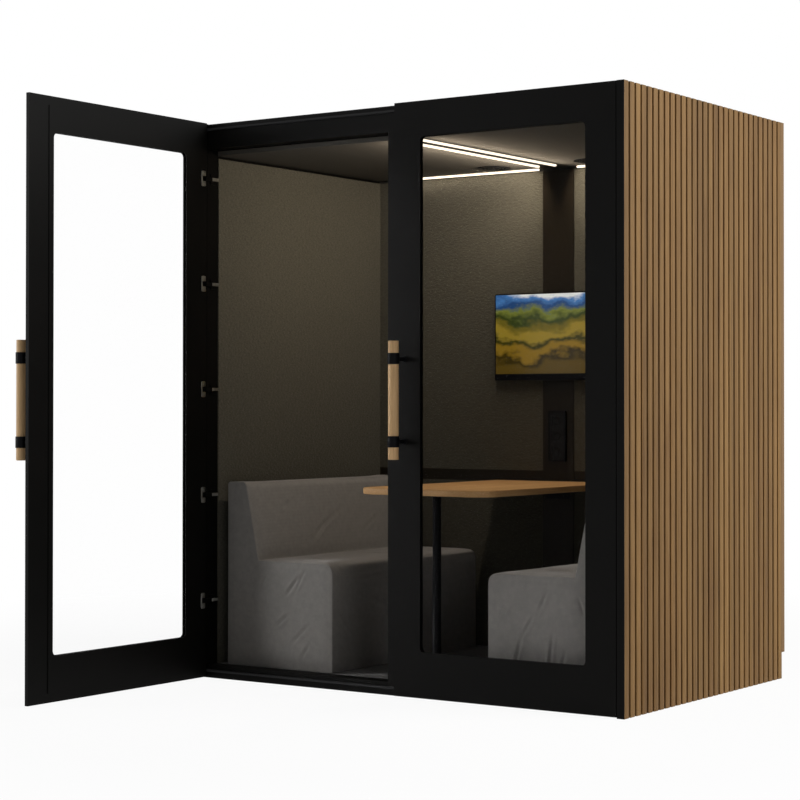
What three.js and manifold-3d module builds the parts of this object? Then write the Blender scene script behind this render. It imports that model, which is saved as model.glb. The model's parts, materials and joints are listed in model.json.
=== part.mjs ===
// Acoustic office pod: a box with slatted oak sides and two glazed doors, two benches, a table and a screen.
// Millimetres, +Z up, the front faces -Y, the origin is the middle of the footprint on the floor.
// The left leaf stands open at a right angle and the right leaf is shut, as the pod is shown for sale.

import * as THREE from 'three';
import { mergeVertices } from 'three/addons/utils/BufferGeometryUtils.js';
import Module from 'manifold-3d';

const wasm = await Module();
wasm.setup();

// Overall size
const POD_WIDTH = 2000;
const POD_DEPTH = 1300;
const POD_HEIGHT = 2240;
const FIT_GAP = 0.3;
const CUT_PAST = 1;
const ROUND_SIDES = 20;
const PEG_SIDES = 16;
const PIN_SIDES = 10;

// Side walls: a core board with an oak slat cladding outside, its front edge covered by a lip of the board
const WALL_CORE = 18;
const CLADDING_THICKNESS = 12;
const EDGE_LIP = 3;
const SLAT_PITCH = 42.4;
const SLAT_GROOVE_WIDTH = 11.5;
const SLAT_GROOVE_DEPTH = 8;

// Back: an insulated core behind the lining, and an outer panel that stops above a skirting board
const REAR_PANEL_THICKNESS = 25;
const SKIRTING_CLEARANCE = 105;
const BACK_CORE_THICKNESS = 63;

// Front frame: sill, header and jambs stand behind the faces of the doors
const FRAME_RECESS = 26;
const FRAME_DEPTH = 64;
const SILL_HEIGHT = 50;
const HEADER_HEIGHT = 99;
const ROOF_SETDOWN = 5;
const JAMB_THICKNESS = 15;
const FRAME_SEAL_WIDTH = 10;
const FRAME_SEAL_LIP = 6;
const FRAME_SEAL_EDGE = 20;
const JAMB_SEAL_THICKNESS = 5;
const JAMB_SEAL_WIDTH = 8;
const SEAL_RELIEF = 35;

// Floor, roof and ceiling
const CARPET_THICKNESS = 6;
const ROOF_THICKNESS = 18;
const CEILING_THICKNESS = 18;
const CEILING_DROP = 3;

// Acoustic lining
const SIDE_FELT_THICKNESS = 20;
const BACK_FELT_THICKNESS = 24;
const FELT_TOP_GAP = 12;
const RAIL_BOTTOM = 771;
const RAIL_HEIGHT = 48;
const COLUMN_WIDTH = 154;
const COLUMN_PROUD = 4;

// Doors
const DOOR_THICKNESS = 16;
const DOOR_WALL_GAP = 3;
const DOOR_MEETING_GAP = 6;
const DOOR_FLOOR_GAP = 4;
const DOOR_TOP_GAP = 1;
const FREE_STILE = 120;
const HINGE_STILE = 125;
const TOP_RAIL = 134;
const BOTTOM_RAIL = 171;
const GLASS_CORNER = 18;
const GLASS_THICKNESS = 10;
const GLASS_EDGE_COVER = 12;
const GLASS_REBATE = 10.6;
const GLAZING_PLATE_THICKNESS = 3;
const GLAZING_PLATE_FREE_EDGE = 97;
const GLAZING_PLATE_HINGE_EDGE = 62;
const GLAZING_PLATE_END = 35;
const PIVOT_FROM_EDGE = 9.5;
const PIVOT_FROM_FACE = 7.5;
const LEFT_DOOR_OPEN = Math.PI / 2;
const RIGHT_DOOR_OPEN = 0;

// Closing strip on the right leaf, behind the edge of the left one
const STRIP_OVERLAP = 38;
const STRIP_LANDING = 60;
const STRIP_END_GAP = 4;

// Concealed hinges, five on each leaf: an arm on the jamb reaches into a pocket of the leaf, round a pin
const HINGE_COUNT = 5;
const HINGE_LOWEST = 312;
const HINGE_TOP_INSET = 225;
const CUP_PLATE_FROM_PIVOT = 2;
const CUP_PLATE_WIDTH = 28;
const CUP_PLATE_HEIGHT = 65;
const CUP_PLATE_THICKNESS = 2;
const CUP_PLATE_CORNER = 7;
const HINGE_PIN_RADIUS = 2.2;
const EYE_WALL = 2.3;
const NECK_REACH = 14;
const NECK_WIDTH = 4;
const KNUCKLE_GAP = 0.6;
const ARM_HEIGHT = 14;
const ARM_NOSE_PROUD = 6;
const ARM_FRONT = 4;
const ARM_LENGTH = 56;
const ARM_BASE_HEIGHT = 40;
const ARM_BASE_LENGTH = 30;
const ARM_BASE_THICKNESS = 4;

// Pull handles: an oak bar in two black rings, each on a peg
const HANDLE_DIAMETER = 40;
const HANDLE_LENGTH = 444;
const HANDLE_CENTRE_HEIGHT = 1117;
const HANDLE_FROM_EDGE = 48;
const HANDLE_STANDOFF = 70;
const RING_SPACING = 310;
const RING_HEIGHT = 42;
const RING_WALL = 2.5;
const HANDLE_EASE = 2.5;
const PEG_DIAMETER = 16;
const PEG_FLANGE_DIAMETER = 26;
const PEG_FLANGE_THICKNESS = 4;

// Ceiling fans, one each side of the lights
const FAN_OFFSET = 240;
const FAN_FROM_BACK = 138;
const FAN_BORE = 116;
const FAN_WALL = 4;
const FAN_SIDES = 28;
const GUARD_DIAMETER = 140;
const GUARD_THICKNESS = 4;
const SLOT_ROWS = 3;
const SLOT_COUNT = 6;
const SLOT_WIDTH = 9;
const SLOT_WEB = 6;
const SLOT_INNER_RADIUS = 13;
const MOTOR_RADIUS = 19;
const MOTOR_HEIGHT = 22;
const SPOKE_WIDTH = 7;
const SPOKE_COUNT = 3;
const SPOKE_SETDOWN = 1;
const SPOKE_TURN = Math.PI / 6;
const HUB_HEIGHT = 26;
const HUB_NOSE = 6;
const BLADE_COUNT = 7;
const BLADE_THICKNESS = 2.2;
const BLADE_CHORD = 30;
const BLADE_ROOT_CHORD = 21.6;
const BLADE_STEPS = 4;
const BLADE_PITCH = 0.62;
const BLADE_TWIST = 0.3;
const BLADE_TIP_GAP = 3;
const SHAFT_RADIUS = 3;
const SHAFT_SEAT = 10;

// Light strips under the ceiling
const LIGHT_WIDTH = 12;
const LIGHT_THICKNESS = 8;
const LIGHT_SHOULDER = 2;
const LIGHT_SPACING = 84;
const LIGHT_FRONT_GAP = 30;
const LIGHT_REAR_GAP = 96;
const BACK_LIGHT_COLUMN_GAP = 20;
const BACK_LIGHT_END_GAP = 100;

// Screen on its plate, and the power module under it
const SCREEN_WIDTH = 604;
const SCREEN_HEIGHT = 374;
const SCREEN_BOTTOM = 1206;
const SCREEN_THICKNESS = 24;
const SCREEN_CORNER = 6;
const SCREEN_BORDER = 5;
const SCREEN_CHIN = 28;
const PANEL_THICKNESS = 2;
const PLATE_SIZE = 120;
const PLATE_THICKNESS = 10;
const POWER_WIDTH = 86;
const POWER_HEIGHT = 217;
const POWER_BOTTOM = 859;
const POWER_DEPTH = 12;
const POWER_CORNER = 8;
const POWER_BORDER = 9;
const INSERT_THICKNESS = 6;
const INSERT_SETBACK = 1;
const SOCKET_COUNT = 3;
const SOCKET_SIZE = 46;
const SOCKET_CORNER = 5;
const SOCKET_DEPTH = 4;

// Table: an oak top with rounded front corners, one round leg and an angle on the column
const TABLE_WIDTH = 630;
const TABLE_THICKNESS = 25;
const TABLE_TOP = 775;
const TABLE_SETBACK = 75;
const TABLE_CORNER = 110;
const TABLE_CORNER_STEPS = 12;
const TABLE_REAR_CORNER = 8;
const LEG_DIAMETER = 34;
const LEG_SETBACK = 120;
const LEG_FOOT_DIAMETER = 96;
const LEG_FOOT_THICKNESS = 6;
const LEG_HEAD_DIAMETER = 120;
const ANGLE_SIZE = 50;
const ANGLE_THICKNESS = 4;
const ANGLE_WIDTH = 120;

// Benches: a padded seat block and a padded back that stands on it
const BENCH_WALL_GAP = 45;
const BENCH_DEPTH = 533;
const BENCH_FRONT_GAP = 2;
const BENCH_REAR_GAP = 88;
const SEAT_HEIGHT = 470;
const SEAT_CORNER = 48;
const BENCH_END_CORNER = 14;
const BACK_TOP = 783;
const BACK_THICKNESS = 150;
const BACK_TOP_THICKNESS = 88;
const BACK_CORNER = 34;
const PAD_CROWN = 5;
const PAD_DRAW = 4;
const PAD_STEPS_LONG = 7;
const PAD_STEPS_SHORT = 3;
const PAD_CORNER_STEPS = 2;

// Places worked out from the sizes above
const HALF_WIDTH = POD_WIDTH / 2;
const FRONT = -POD_DEPTH / 2;
const REAR = POD_DEPTH / 2;
const WALL_REAR = REAR - REAR_PANEL_THICKNESS;
const WALL_INNER = HALF_WIDTH - CLADDING_THICKNESS - WALL_CORE;
const CORE_OUTER = HALF_WIDTH - CLADDING_THICKNESS;
const FRAME_FRONT = FRONT + FRAME_RECESS;
const FRAME_REAR = FRAME_FRONT + FRAME_DEPTH;
const JAMB_INNER = WALL_INNER - JAMB_THICKNESS;
const BACK_CORE_FRONT = WALL_REAR - BACK_CORE_THICKNESS;
const BACK_FELT_FRONT = BACK_CORE_FRONT - BACK_FELT_THICKNESS;
const SIDE_FELT_INNER = WALL_INNER - SIDE_FELT_THICKNESS;
const COLUMN_FRONT = BACK_FELT_FRONT - COLUMN_PROUD;
const ROOF_TOP = POD_HEIGHT - ROOF_SETDOWN;
const ROOF_BOTTOM = ROOF_TOP - ROOF_THICKNESS;
const HEADER_BOTTOM = ROOF_TOP - HEADER_HEIGHT;
const CEILING_TOP = HEADER_BOTTOM - CEILING_DROP;
const CEILING_BOTTOM = CEILING_TOP - CEILING_THICKNESS;
const FELT_TOP = CEILING_BOTTOM - FELT_TOP_GAP;
const RAIL_TOP = RAIL_BOTTOM + RAIL_HEIGHT;
const DOOR_BOTTOM = DOOR_FLOOR_GAP;
const DOOR_TOP = POD_HEIGHT - DOOR_TOP_GAP;
const DOOR_HINGE_EDGE = WALL_INNER - DOOR_WALL_GAP;
const DOOR_FREE_EDGE = DOOR_MEETING_GAP / 2;
const PIVOT_X = DOOR_HINGE_EDGE - PIVOT_FROM_EDGE;
const PIVOT_Y = FRONT + PIVOT_FROM_FACE;
const DOOR_INNER = FRONT + DOOR_THICKNESS;
const FAN_Y = BACK_CORE_FRONT - FAN_FROM_BACK - BACK_FELT_THICKNESS;
const LIGHT_BOTTOM = CEILING_BOTTOM - LIGHT_THICKNESS;
const SEAL_TOP = DOOR_TOP - FRAME_SEAL_EDGE;
const SEAL_BOTTOM = DOOR_BOTTOM + FRAME_SEAL_EDGE;

// Finishes
const finish = (color, roughness, metalness = 0) => ({ color, roughness, metalness });
const BLACK_LACQUER = finish(0x141415, 0.55);
const BLACK_BOARD = finish(0x1b1a1a, 0.7);
const CEILING_BOARD = finish(0x3a3835, 0.8);
const OAK_SLATS = finish(0x7a6043, 0.6);
const OAK_SOLID = finish(0xa9865c, 0.5);
const BROWN_BOARD = finish(0x755c40, 0.7);
const FELT = finish(0x4b463e, 0.95);
const DARK_TRIM = finish(0x1d1a18, 0.6);
const CARPET = finish(0x2b2b2a, 0.98);
const UPHOLSTERY = finish(0x5f5e5b, 0.9);
const GLASS = finish(0xdfe7e6, 0.05);
const RUBBER = finish(0x0f0f10, 0.85);
const BLACK_METAL = finish(0x18181a, 0.4, 0.8);
const LIT_DIFFUSER = finish(0xfff1d6, 0.5);
const FAN_PLASTIC = finish(0x222224, 0.5);
const SCREEN_GLASS = finish(0x1a2a38, 0.15);
const SOCKET_PLASTIC = finish(0x2c2a28, 0.5);

const pod = new THREE.Group();

// Makes a named mesh with its own material.
function piece(name, geometry, look, parent = pod) {
  const material = new THREE.MeshStandardMaterial(look);
  const mesh = new THREE.Mesh(geometry, material);
  mesh.name = name;
  parent.add(mesh);
  return mesh;
}

// A closed geometry as a solid that can be joined and cut.
function solid(geometry) {
  const bare = new THREE.BufferGeometry();
  bare.setAttribute('position', geometry.getAttribute('position').clone());
  if (geometry.index) bare.setIndex(geometry.index.clone());
  const merged = mergeVertices(bare, 1e-3);
  const vertProperties = new Float32Array(merged.getAttribute('position').array);
  const triVerts = new Uint32Array(merged.index.array);
  return new wasm.Manifold(new wasm.Mesh({ numProp: 3, vertProperties, triVerts }));
}

// A joined or cut solid as a geometry again.
function shell(manifold) {
  const mesh = manifold.getMesh();
  const geometry = new THREE.BufferGeometry();
  geometry.setAttribute('position', new THREE.BufferAttribute(new Float32Array(mesh.vertProperties), 3));
  geometry.setIndex(new THREE.BufferAttribute(new Uint32Array(mesh.triVerts), 1));
  return geometry;
}

// A board between two corners, given in any order.
function board(xs, ys, zs) {
  const [width, depth, height] = [xs, ys, zs].map(([a, b]) => Math.abs(b - a));
  const [x, y, z] = [xs, ys, zs].map(([a, b]) => (a + b) / 2);
  return new THREE.BoxGeometry(width, depth, height).translate(x, y, z);
}

// Rounded rectangle between two corners, as an outline or a hole.
function roundedRect(path, x0, y0, x1, y1, radius) {
  const [left, right] = [Math.min(x0, x1), Math.max(x0, x1)];
  path.moveTo(left + radius, y0);
  path.lineTo(right - radius, y0);
  path.absarc(right - radius, y0 + radius, radius, -Math.PI / 2, 0);
  path.lineTo(right, y1 - radius);
  path.absarc(right - radius, y1 - radius, radius, 0, Math.PI / 2);
  path.lineTo(left + radius, y1);
  path.absarc(left + radius, y1 - radius, radius, Math.PI / 2, Math.PI);
  path.lineTo(left, y0 + radius);
  path.absarc(left + radius, y0 + radius, radius, Math.PI, Math.PI * 1.5);
  return path;
}

// An outline in plan, raised from z0 to z1.
function raise(shape, z0, z1, curveSegments = 3) {
  const options = { depth: z1 - z0, bevelEnabled: false, curveSegments };
  return new THREE.ExtrudeGeometry(shape, options).translate(0, 0, z0);
}

// An outline seen from the front (x across, z up), carried from y0 back to y1.
function carryBack(shape, y0, y1, curveSegments = 3) {
  return raise(shape, 0, y1 - y0, curveSegments).rotateX(Math.PI / 2).translate(0, y1, 0);
}

// An outline seen from the right end (y across, z up), carried from x0 to x1.
function carryAcross(shape, x0, x1, curveSegments = 3) {
  const ends = [new THREE.Vector3(0, 1, 0), new THREE.Vector3(0, 0, 1), new THREE.Vector3(1, 0, 0)];
  const turn = new THREE.Matrix4().makeBasis(...ends);
  return raise(shape, 0, x1 - x0, curveSegments).applyMatrix4(turn).translate(x0, 0, 0);
}

// A closed polygon through the given corners.
function polygon(corners) {
  return new THREE.Shape(corners.map(([x, y]) => new THREE.Vector2(x, y)));
}

// A round rod along z.
function rod(radius, x, y, z0, z1, sides = ROUND_SIDES) {
  const upright = new THREE.CylinderGeometry(radius, radius, z1 - z0, sides).rotateX(Math.PI / 2);
  return upright.translate(x, y, (z0 + z1) / 2);
}

// A piece turned about the z axis, from a profile of radius and height.
function turned(profile, sides = ROUND_SIDES) {
  const points = profile.map(([radius, height]) => new THREE.Vector2(radius, height));
  return new THREE.LatheGeometry(points, sides).rotateX(Math.PI / 2);
}

const SIDES = [['left', -1], ['right', 1]];

// Side wall: the core board in plan, with a lip over the front edge of the cladding.
function sideWall(label, side) {
  const corners = [
    [side * WALL_INNER, FRONT],
    [side * HALF_WIDTH, FRONT],
    [side * HALF_WIDTH, FRONT + EDGE_LIP],
    [side * CORE_OUTER, FRONT + EDGE_LIP],
    [side * CORE_OUTER, WALL_REAR],
    [side * WALL_INNER, WALL_REAR],
  ];
  piece(`side_wall_${label}`, raise(polygon(corners), 0, POD_HEIGHT), BLACK_LACQUER);
}

// Slat cladding: a comb in plan, with whole slats spread evenly over the depth.
function slatCladding(label, side) {
  const start = FRONT + EDGE_LIP;
  const span = WALL_REAR - start + SLAT_GROOVE_WIDTH;
  const slatCount = Math.round(span / SLAT_PITCH);
  const pitch = span / slatCount;
  const grooveFloor = side * (HALF_WIDTH - SLAT_GROOVE_DEPTH);
  const corners = [[side * CORE_OUTER, start], [side * HALF_WIDTH, start]];
  for (let i = 1; i < slatCount; i += 1) {
    const grooveEnd = start + i * pitch;
    const grooveStart = grooveEnd - SLAT_GROOVE_WIDTH;
    corners.push([side * HALF_WIDTH, grooveStart], [grooveFloor, grooveStart]);
    corners.push([grooveFloor, grooveEnd], [side * HALF_WIDTH, grooveEnd]);
  }
  corners.push([side * HALF_WIDTH, WALL_REAR], [side * CORE_OUTER, WALL_REAR]);
  piece(`slat_cladding_${label}`, raise(polygon(corners), 0, POD_HEIGHT), OAK_SLATS);
}

// Rows of curved slots round a centre, as holes in a panel.
function slotHoles(x, y) {
  const holes = [];
  for (let row = 0; row < SLOT_ROWS; row += 1) {
    const inner = SLOT_INNER_RADIUS + row * (SLOT_WIDTH + SLOT_WEB);
    const outer = inner + SLOT_WIDTH;
    const halfWeb = SLOT_WEB / 2 / inner;
    for (let i = 0; i < SLOT_COUNT; i += 1) {
      const from = (i / SLOT_COUNT) * Math.PI * 2 + halfWeb;
      const to = ((i + 1) / SLOT_COUNT) * Math.PI * 2 - halfWeb;
      const hole = new THREE.Path();
      hole.absarc(x, y, outer, from, to, false);
      hole.absarc(x, y, inner, to, from, true);
      hole.closePath();
      holes.push(hole);
    }
  }
  return holes;
}

// A round outline, or hole, with the given number of sides.
function circle(x, y, radius, sides) {
  const corner = (_, i) => (i / sides) * Math.PI * 2;
  const angles = Array.from({ length: sides }, corner);
  return polygon(angles.map((a) => [x + radius * Math.cos(a), y + radius * Math.sin(a)]));
}

// A rectangle between two corners.
function rectangle(x0, y0, x1, y1) {
  return polygon([[x0, y0], [x1, y0], [x1, y1], [x0, y1]]);
}

// Shell of the pod: base, roof, ceiling, back and the front frame.
function podShell() {
  const across = [-WALL_INNER, WALL_INNER];
  const inside = [FRAME_REAR, BACK_CORE_FRONT];
  const floorTop = SILL_HEIGHT - CARPET_THICKNESS;
  piece('base', board(across, inside, [0, floorTop]), BLACK_BOARD);
  piece('carpet', board(across, inside, [floorTop, SILL_HEIGHT]), CARPET);
  piece('sill', board(across, [FRAME_FRONT, FRAME_REAR], [0, SILL_HEIGHT]), BLACK_LACQUER);
  piece('header', board(across, [FRAME_FRONT, FRAME_REAR], [HEADER_BOTTOM, ROOF_TOP]), BLACK_LACQUER);
  piece('back_core', board(across, [BACK_CORE_FRONT, WALL_REAR], [0, ROOF_TOP]), BLACK_BOARD);
  const rearAcross = [-HALF_WIDTH, HALF_WIDTH];
  piece('rear_panel', board(rearAcross, [WALL_REAR, REAR], [SKIRTING_CLEARANCE, POD_HEIGHT]), BROWN_BOARD);
  const roof = rectangle(-WALL_INNER, FRAME_REAR, WALL_INNER, BACK_CORE_FRONT);
  const ceiling = rectangle(-WALL_INNER, FRAME_REAR, WALL_INNER, BACK_CORE_FRONT);
  for (const [, side] of SIDES) {
    roof.holes.push(circle(side * FAN_OFFSET, FAN_Y, FAN_BORE / 2, FAN_SIDES));
    ceiling.holes.push(circle(side * FAN_OFFSET, FAN_Y, FAN_BORE / 2, FAN_SIDES));
  }
  piece('roof', raise(roof, ROOF_BOTTOM, ROOF_TOP), BLACK_BOARD);
  piece('ceiling', raise(ceiling, CEILING_BOTTOM, CEILING_TOP), CEILING_BOARD);
}

// Heights of the hinges on a leaf, evenly spread.
function hingeHeights() {
  const highest = DOOR_TOP - HINGE_TOP_INSET;
  const step = (highest - HINGE_LOWEST) / (HINGE_COUNT - 1);
  return Array.from({ length: HINGE_COUNT }, (_, i) => HINGE_LOWEST + i * step);
}

// Fixed part of a hinge, in plan: the neck leaves the eye towards the free edge and turns back to the arm.
// It stays in the pocket, or out of the leaf, all the way from shut to fully open.
function hingeNeck(side, height, rear) {
  const zs = [height - ARM_HEIGHT / 2, height + ARM_HEIGHT / 2];
  const x = side * PIVOT_X;
  const turn = side * (PIVOT_X - NECK_REACH);
  const halfWidth = NECK_WIDTH / 2;
  const bore = HINGE_PIN_RADIUS + FIT_GAP;
  const across = board([x, turn - side * halfWidth], [PIVOT_Y - halfWidth, PIVOT_Y + halfWidth], zs);
  const back = board([turn - side * halfWidth, turn + side * halfWidth], [PIVOT_Y, rear], zs);
  const eye = solid(rod(bore + EYE_WALL, x, PIVOT_Y, ...zs, PIN_SIDES));
  const hole = rod(bore, x, PIVOT_Y, zs[0] - CUT_PAST, zs[1] + CUT_PAST, PIN_SIDES);
  return eye.add(solid(across)).add(solid(back)).subtract(solid(hole));
}

// Jamb with the fixed arms of the hinges: a base plate on the jamb, an arm with a sloped nose and the neck.
function jamb(label, side) {
  const xs = [side * JAMB_INNER, side * WALL_INNER];
  let body = solid(board(xs, [FRAME_FRONT, FRAME_REAR], [SILL_HEIGHT, HEADER_BOTTOM]));
  const face = side * JAMB_INNER;
  const nose = FRAME_FRONT + ARM_FRONT;
  const proud = JAMB_INNER - PIVOT_X + NECK_REACH + NECK_WIDTH / 2;
  const plan = polygon([
    [face, nose],
    [face - side * ARM_NOSE_PROUD, nose],
    [face - side * proud, nose + proud],
    [face - side * proud, nose + ARM_LENGTH - proud / 2],
    [face - side * ARM_NOSE_PROUD, nose + ARM_LENGTH],
    [face, nose + ARM_LENGTH],
  ]);
  const baseFront = nose + (ARM_LENGTH - ARM_BASE_LENGTH) / 2;
  for (const height of hingeHeights()) {
    const arm = raise(plan, height - ARM_HEIGHT / 2, height + ARM_HEIGHT / 2);
    const zs = [height - ARM_BASE_HEIGHT / 2, height + ARM_BASE_HEIGHT / 2];
    const plateXs = [face, face - side * ARM_BASE_THICKNESS];
    const plate = board(plateXs, [baseFront, baseFront + ARM_BASE_LENGTH], zs);
    body = body.add(solid(arm)).add(solid(plate)).add(hingeNeck(side, height, baseFront + ARM_BASE_LENGTH));
  }
  piece(`jamb_${label}`, shell(body), BLACK_LACQUER);
}

// Rubber seal round the doorway: a flat ring, with a raised lip along sill and header where the leaves press.
function frameSeal() {
  const outer = WALL_INNER - DOOR_WALL_GAP;
  const ring = rectangle(-outer, SEAL_BOTTOM, outer, SEAL_TOP);
  const inner = outer - JAMB_SEAL_WIDTH;
  const [innerBottom, innerTop] = [SEAL_BOTTOM + FRAME_SEAL_WIDTH, SEAL_TOP - FRAME_SEAL_WIDTH];
  ring.holes.push(rectangle(-inner, innerBottom, inner, innerTop));
  let seal = solid(carryBack(ring, FRAME_FRONT - JAMB_SEAL_THICKNESS, FRAME_FRONT));
  const reach = outer - SEAL_RELIEF;
  const lipYs = [DOOR_INNER + FIT_GAP, FRAME_FRONT - JAMB_SEAL_THICKNESS / 2];
  for (const z of [SEAL_BOTTOM + FRAME_SEAL_WIDTH / 2, SEAL_TOP - FRAME_SEAL_WIDTH / 2]) {
    const zs = [z - FRAME_SEAL_LIP / 2, z + FRAME_SEAL_LIP / 2];
    seal = seal.add(solid(board([-reach, reach], lipYs, zs)));
  }
  piece('frame_seal', shell(seal), RUBBER);
}

// Felt lining, the dark rail at table height and the column that carries the screen.
function lining() {
  const columnHalf = COLUMN_WIDTH / 2;
  const back = [BACK_FELT_FRONT, BACK_CORE_FRONT];
  for (const [label, side] of SIDES) {
    const sideYs = [FRAME_REAR, BACK_CORE_FRONT];
    const sideXs = [side * SIDE_FELT_INNER, side * WALL_INNER];
    piece(`side_felt_${label}`, board(sideXs, sideYs, [SILL_HEIGHT, FELT_TOP]), FELT);
    const xs = [side * columnHalf, side * SIDE_FELT_INNER];
    piece(`back_felt_upper_${label}`, board(xs, back, [RAIL_TOP, FELT_TOP]), FELT);
    piece(`back_rail_${label}`, board(xs, back, [RAIL_BOTTOM, RAIL_TOP]), DARK_TRIM);
    piece(`back_felt_lower_${label}`, board(xs, back, [SILL_HEIGHT, RAIL_BOTTOM]), FELT);
  }
  const column = board([-columnHalf, columnHalf], [COLUMN_FRONT, BACK_CORE_FRONT], [SILL_HEIGHT, FELT_TOP]);
  piece('media_column', column, DARK_TRIM);
}

// Section of a light strip between two sides, with eased lower edges.
function lightProfile(a, b) {
  return polygon([
    [a, CEILING_BOTTOM],
    [a, LIGHT_BOTTOM + LIGHT_SHOULDER],
    [a + LIGHT_SHOULDER, LIGHT_BOTTOM],
    [b - LIGHT_SHOULDER, LIGHT_BOTTOM],
    [b, LIGHT_BOTTOM + LIGHT_SHOULDER],
    [b, CEILING_BOTTOM],
  ]);
}

// Lights: a pair of strips from front to back, and one on each side along the top of the back wall.
function lights() {
  for (const [label, side] of SIDES) {
    const x = side * LIGHT_SPACING / 2;
    const profile = lightProfile(x - LIGHT_WIDTH / 2, x + LIGHT_WIDTH / 2);
    const [front, rear] = [FRAME_REAR + LIGHT_FRONT_GAP, BACK_FELT_FRONT - LIGHT_REAR_GAP];
    piece(`ceiling_light_${label}`, carryBack(profile, front, rear), LIT_DIFFUSER);
    const nearEnd = side * (COLUMN_WIDTH / 2 + BACK_LIGHT_COLUMN_GAP);
    const farEnd = side * (SIDE_FELT_INNER - BACK_LIGHT_END_GAP);
    const strip = lightProfile(BACK_FELT_FRONT - LIGHT_WIDTH, BACK_FELT_FRONT);
    const length = carryAcross(strip, Math.min(nearEnd, farEnd), Math.max(nearEnd, farEnd));
    piece(`back_light_${label}`, length, LIT_DIFFUSER);
  }
}

// One fan blade: a thin plate along the radius, flatter and wider towards the tip, rooted in the hub.
function fanBlade(hubRadius, tipRadius) {
  const root = hubRadius - BLADE_THICKNESS;
  const blade = new THREE.BoxGeometry(tipRadius - root, 1, BLADE_THICKNESS, BLADE_STEPS, 1, 1);
  blade.translate((tipRadius + root) / 2, 0, 0);
  const points = blade.getAttribute('position');
  const point = new THREE.Vector3();
  const radial = new THREE.Vector3(1, 0, 0);
  for (let i = 0; i < points.count; i += 1) {
    point.fromBufferAttribute(points, i);
    const share = (point.x - root) / (tipRadius - root);
    point.y *= THREE.MathUtils.lerp(BLADE_ROOT_CHORD, BLADE_CHORD, share);
    point.applyAxisAngle(radial, BLADE_PITCH - BLADE_TWIST * share);
    points.setXYZ(i, point.x, point.y, point.z);
  }
  return blade;
}

// Fan: a duct from ceiling to roof with a motor on spokes, a rotor on the motor's shaft, and a guard below.
function fan(label, side) {
  const x = side * FAN_OFFSET;
  const bore = FAN_BORE / 2;
  const guard = circle(x, FAN_Y, GUARD_DIAMETER / 2, FAN_SIDES);
  guard.holes.push(...slotHoles(x, FAN_Y));
  piece(`fan_guard_${label}`, raise(guard, CEILING_BOTTOM - GUARD_THICKNESS, CEILING_BOTTOM, 2), FAN_PLASTIC);

  const motorTop = ROOF_BOTTOM - GUARD_THICKNESS;
  const motorBottom = motorTop - MOTOR_HEIGHT;
  let duct = solid(rod(bore + FAN_WALL, x, FAN_Y, CEILING_TOP, ROOF_BOTTOM, FAN_SIDES));
  duct = duct.subtract(solid(rod(bore, x, FAN_Y, CEILING_TOP - CUT_PAST, ROOF_BOTTOM + CUT_PAST, FAN_SIDES)));
  duct = duct.add(solid(rod(MOTOR_RADIUS, x, FAN_Y, motorBottom, motorTop)));
  for (let i = 0; i < SPOKE_COUNT; i += 1) {
    const spokeZs = [motorTop - SPOKE_WIDTH, motorTop - SPOKE_SETDOWN];
    const spoke = board([0, bore + FAN_WALL / 2], [-SPOKE_WIDTH / 2, SPOKE_WIDTH / 2], spokeZs);
    spoke.rotateZ((i / SPOKE_COUNT) * Math.PI * 2 + SPOKE_TURN).translate(x, FAN_Y, 0);
    duct = duct.add(solid(spoke));
  }
  const seatZs = [motorBottom - CUT_PAST, motorBottom + SHAFT_SEAT];
  duct = duct.subtract(solid(rod(SHAFT_RADIUS + FIT_GAP, x, FAN_Y, ...seatZs)));
  piece(`fan_duct_${label}`, shell(duct), FAN_PLASTIC);

  const spin = new THREE.Group();
  spin.position.set(x, FAN_Y, motorBottom - FIT_GAP - HUB_HEIGHT / 2);
  pod.add(spin);
  const half = HUB_HEIGHT / 2;
  const hubRadius = MOTOR_RADIUS;
  const profile = [
    [0, -half],
    [hubRadius - HUB_NOSE, -half],
    [hubRadius, HUB_NOSE - half],
    [hubRadius, half],
    [SHAFT_RADIUS, half],
    [SHAFT_RADIUS, half + SHAFT_SEAT],
    [0, half + SHAFT_SEAT],
  ];
  let rotor = solid(turned(profile));
  for (let i = 0; i < BLADE_COUNT; i += 1) {
    const blade = fanBlade(hubRadius, bore - BLADE_TIP_GAP);
    rotor = rotor.add(solid(blade.rotateZ((i / BLADE_COUNT) * Math.PI * 2)));
  }
  piece(`fan_rotor_${label}`, shell(rotor), FAN_PLASTIC, spin);
}

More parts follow.
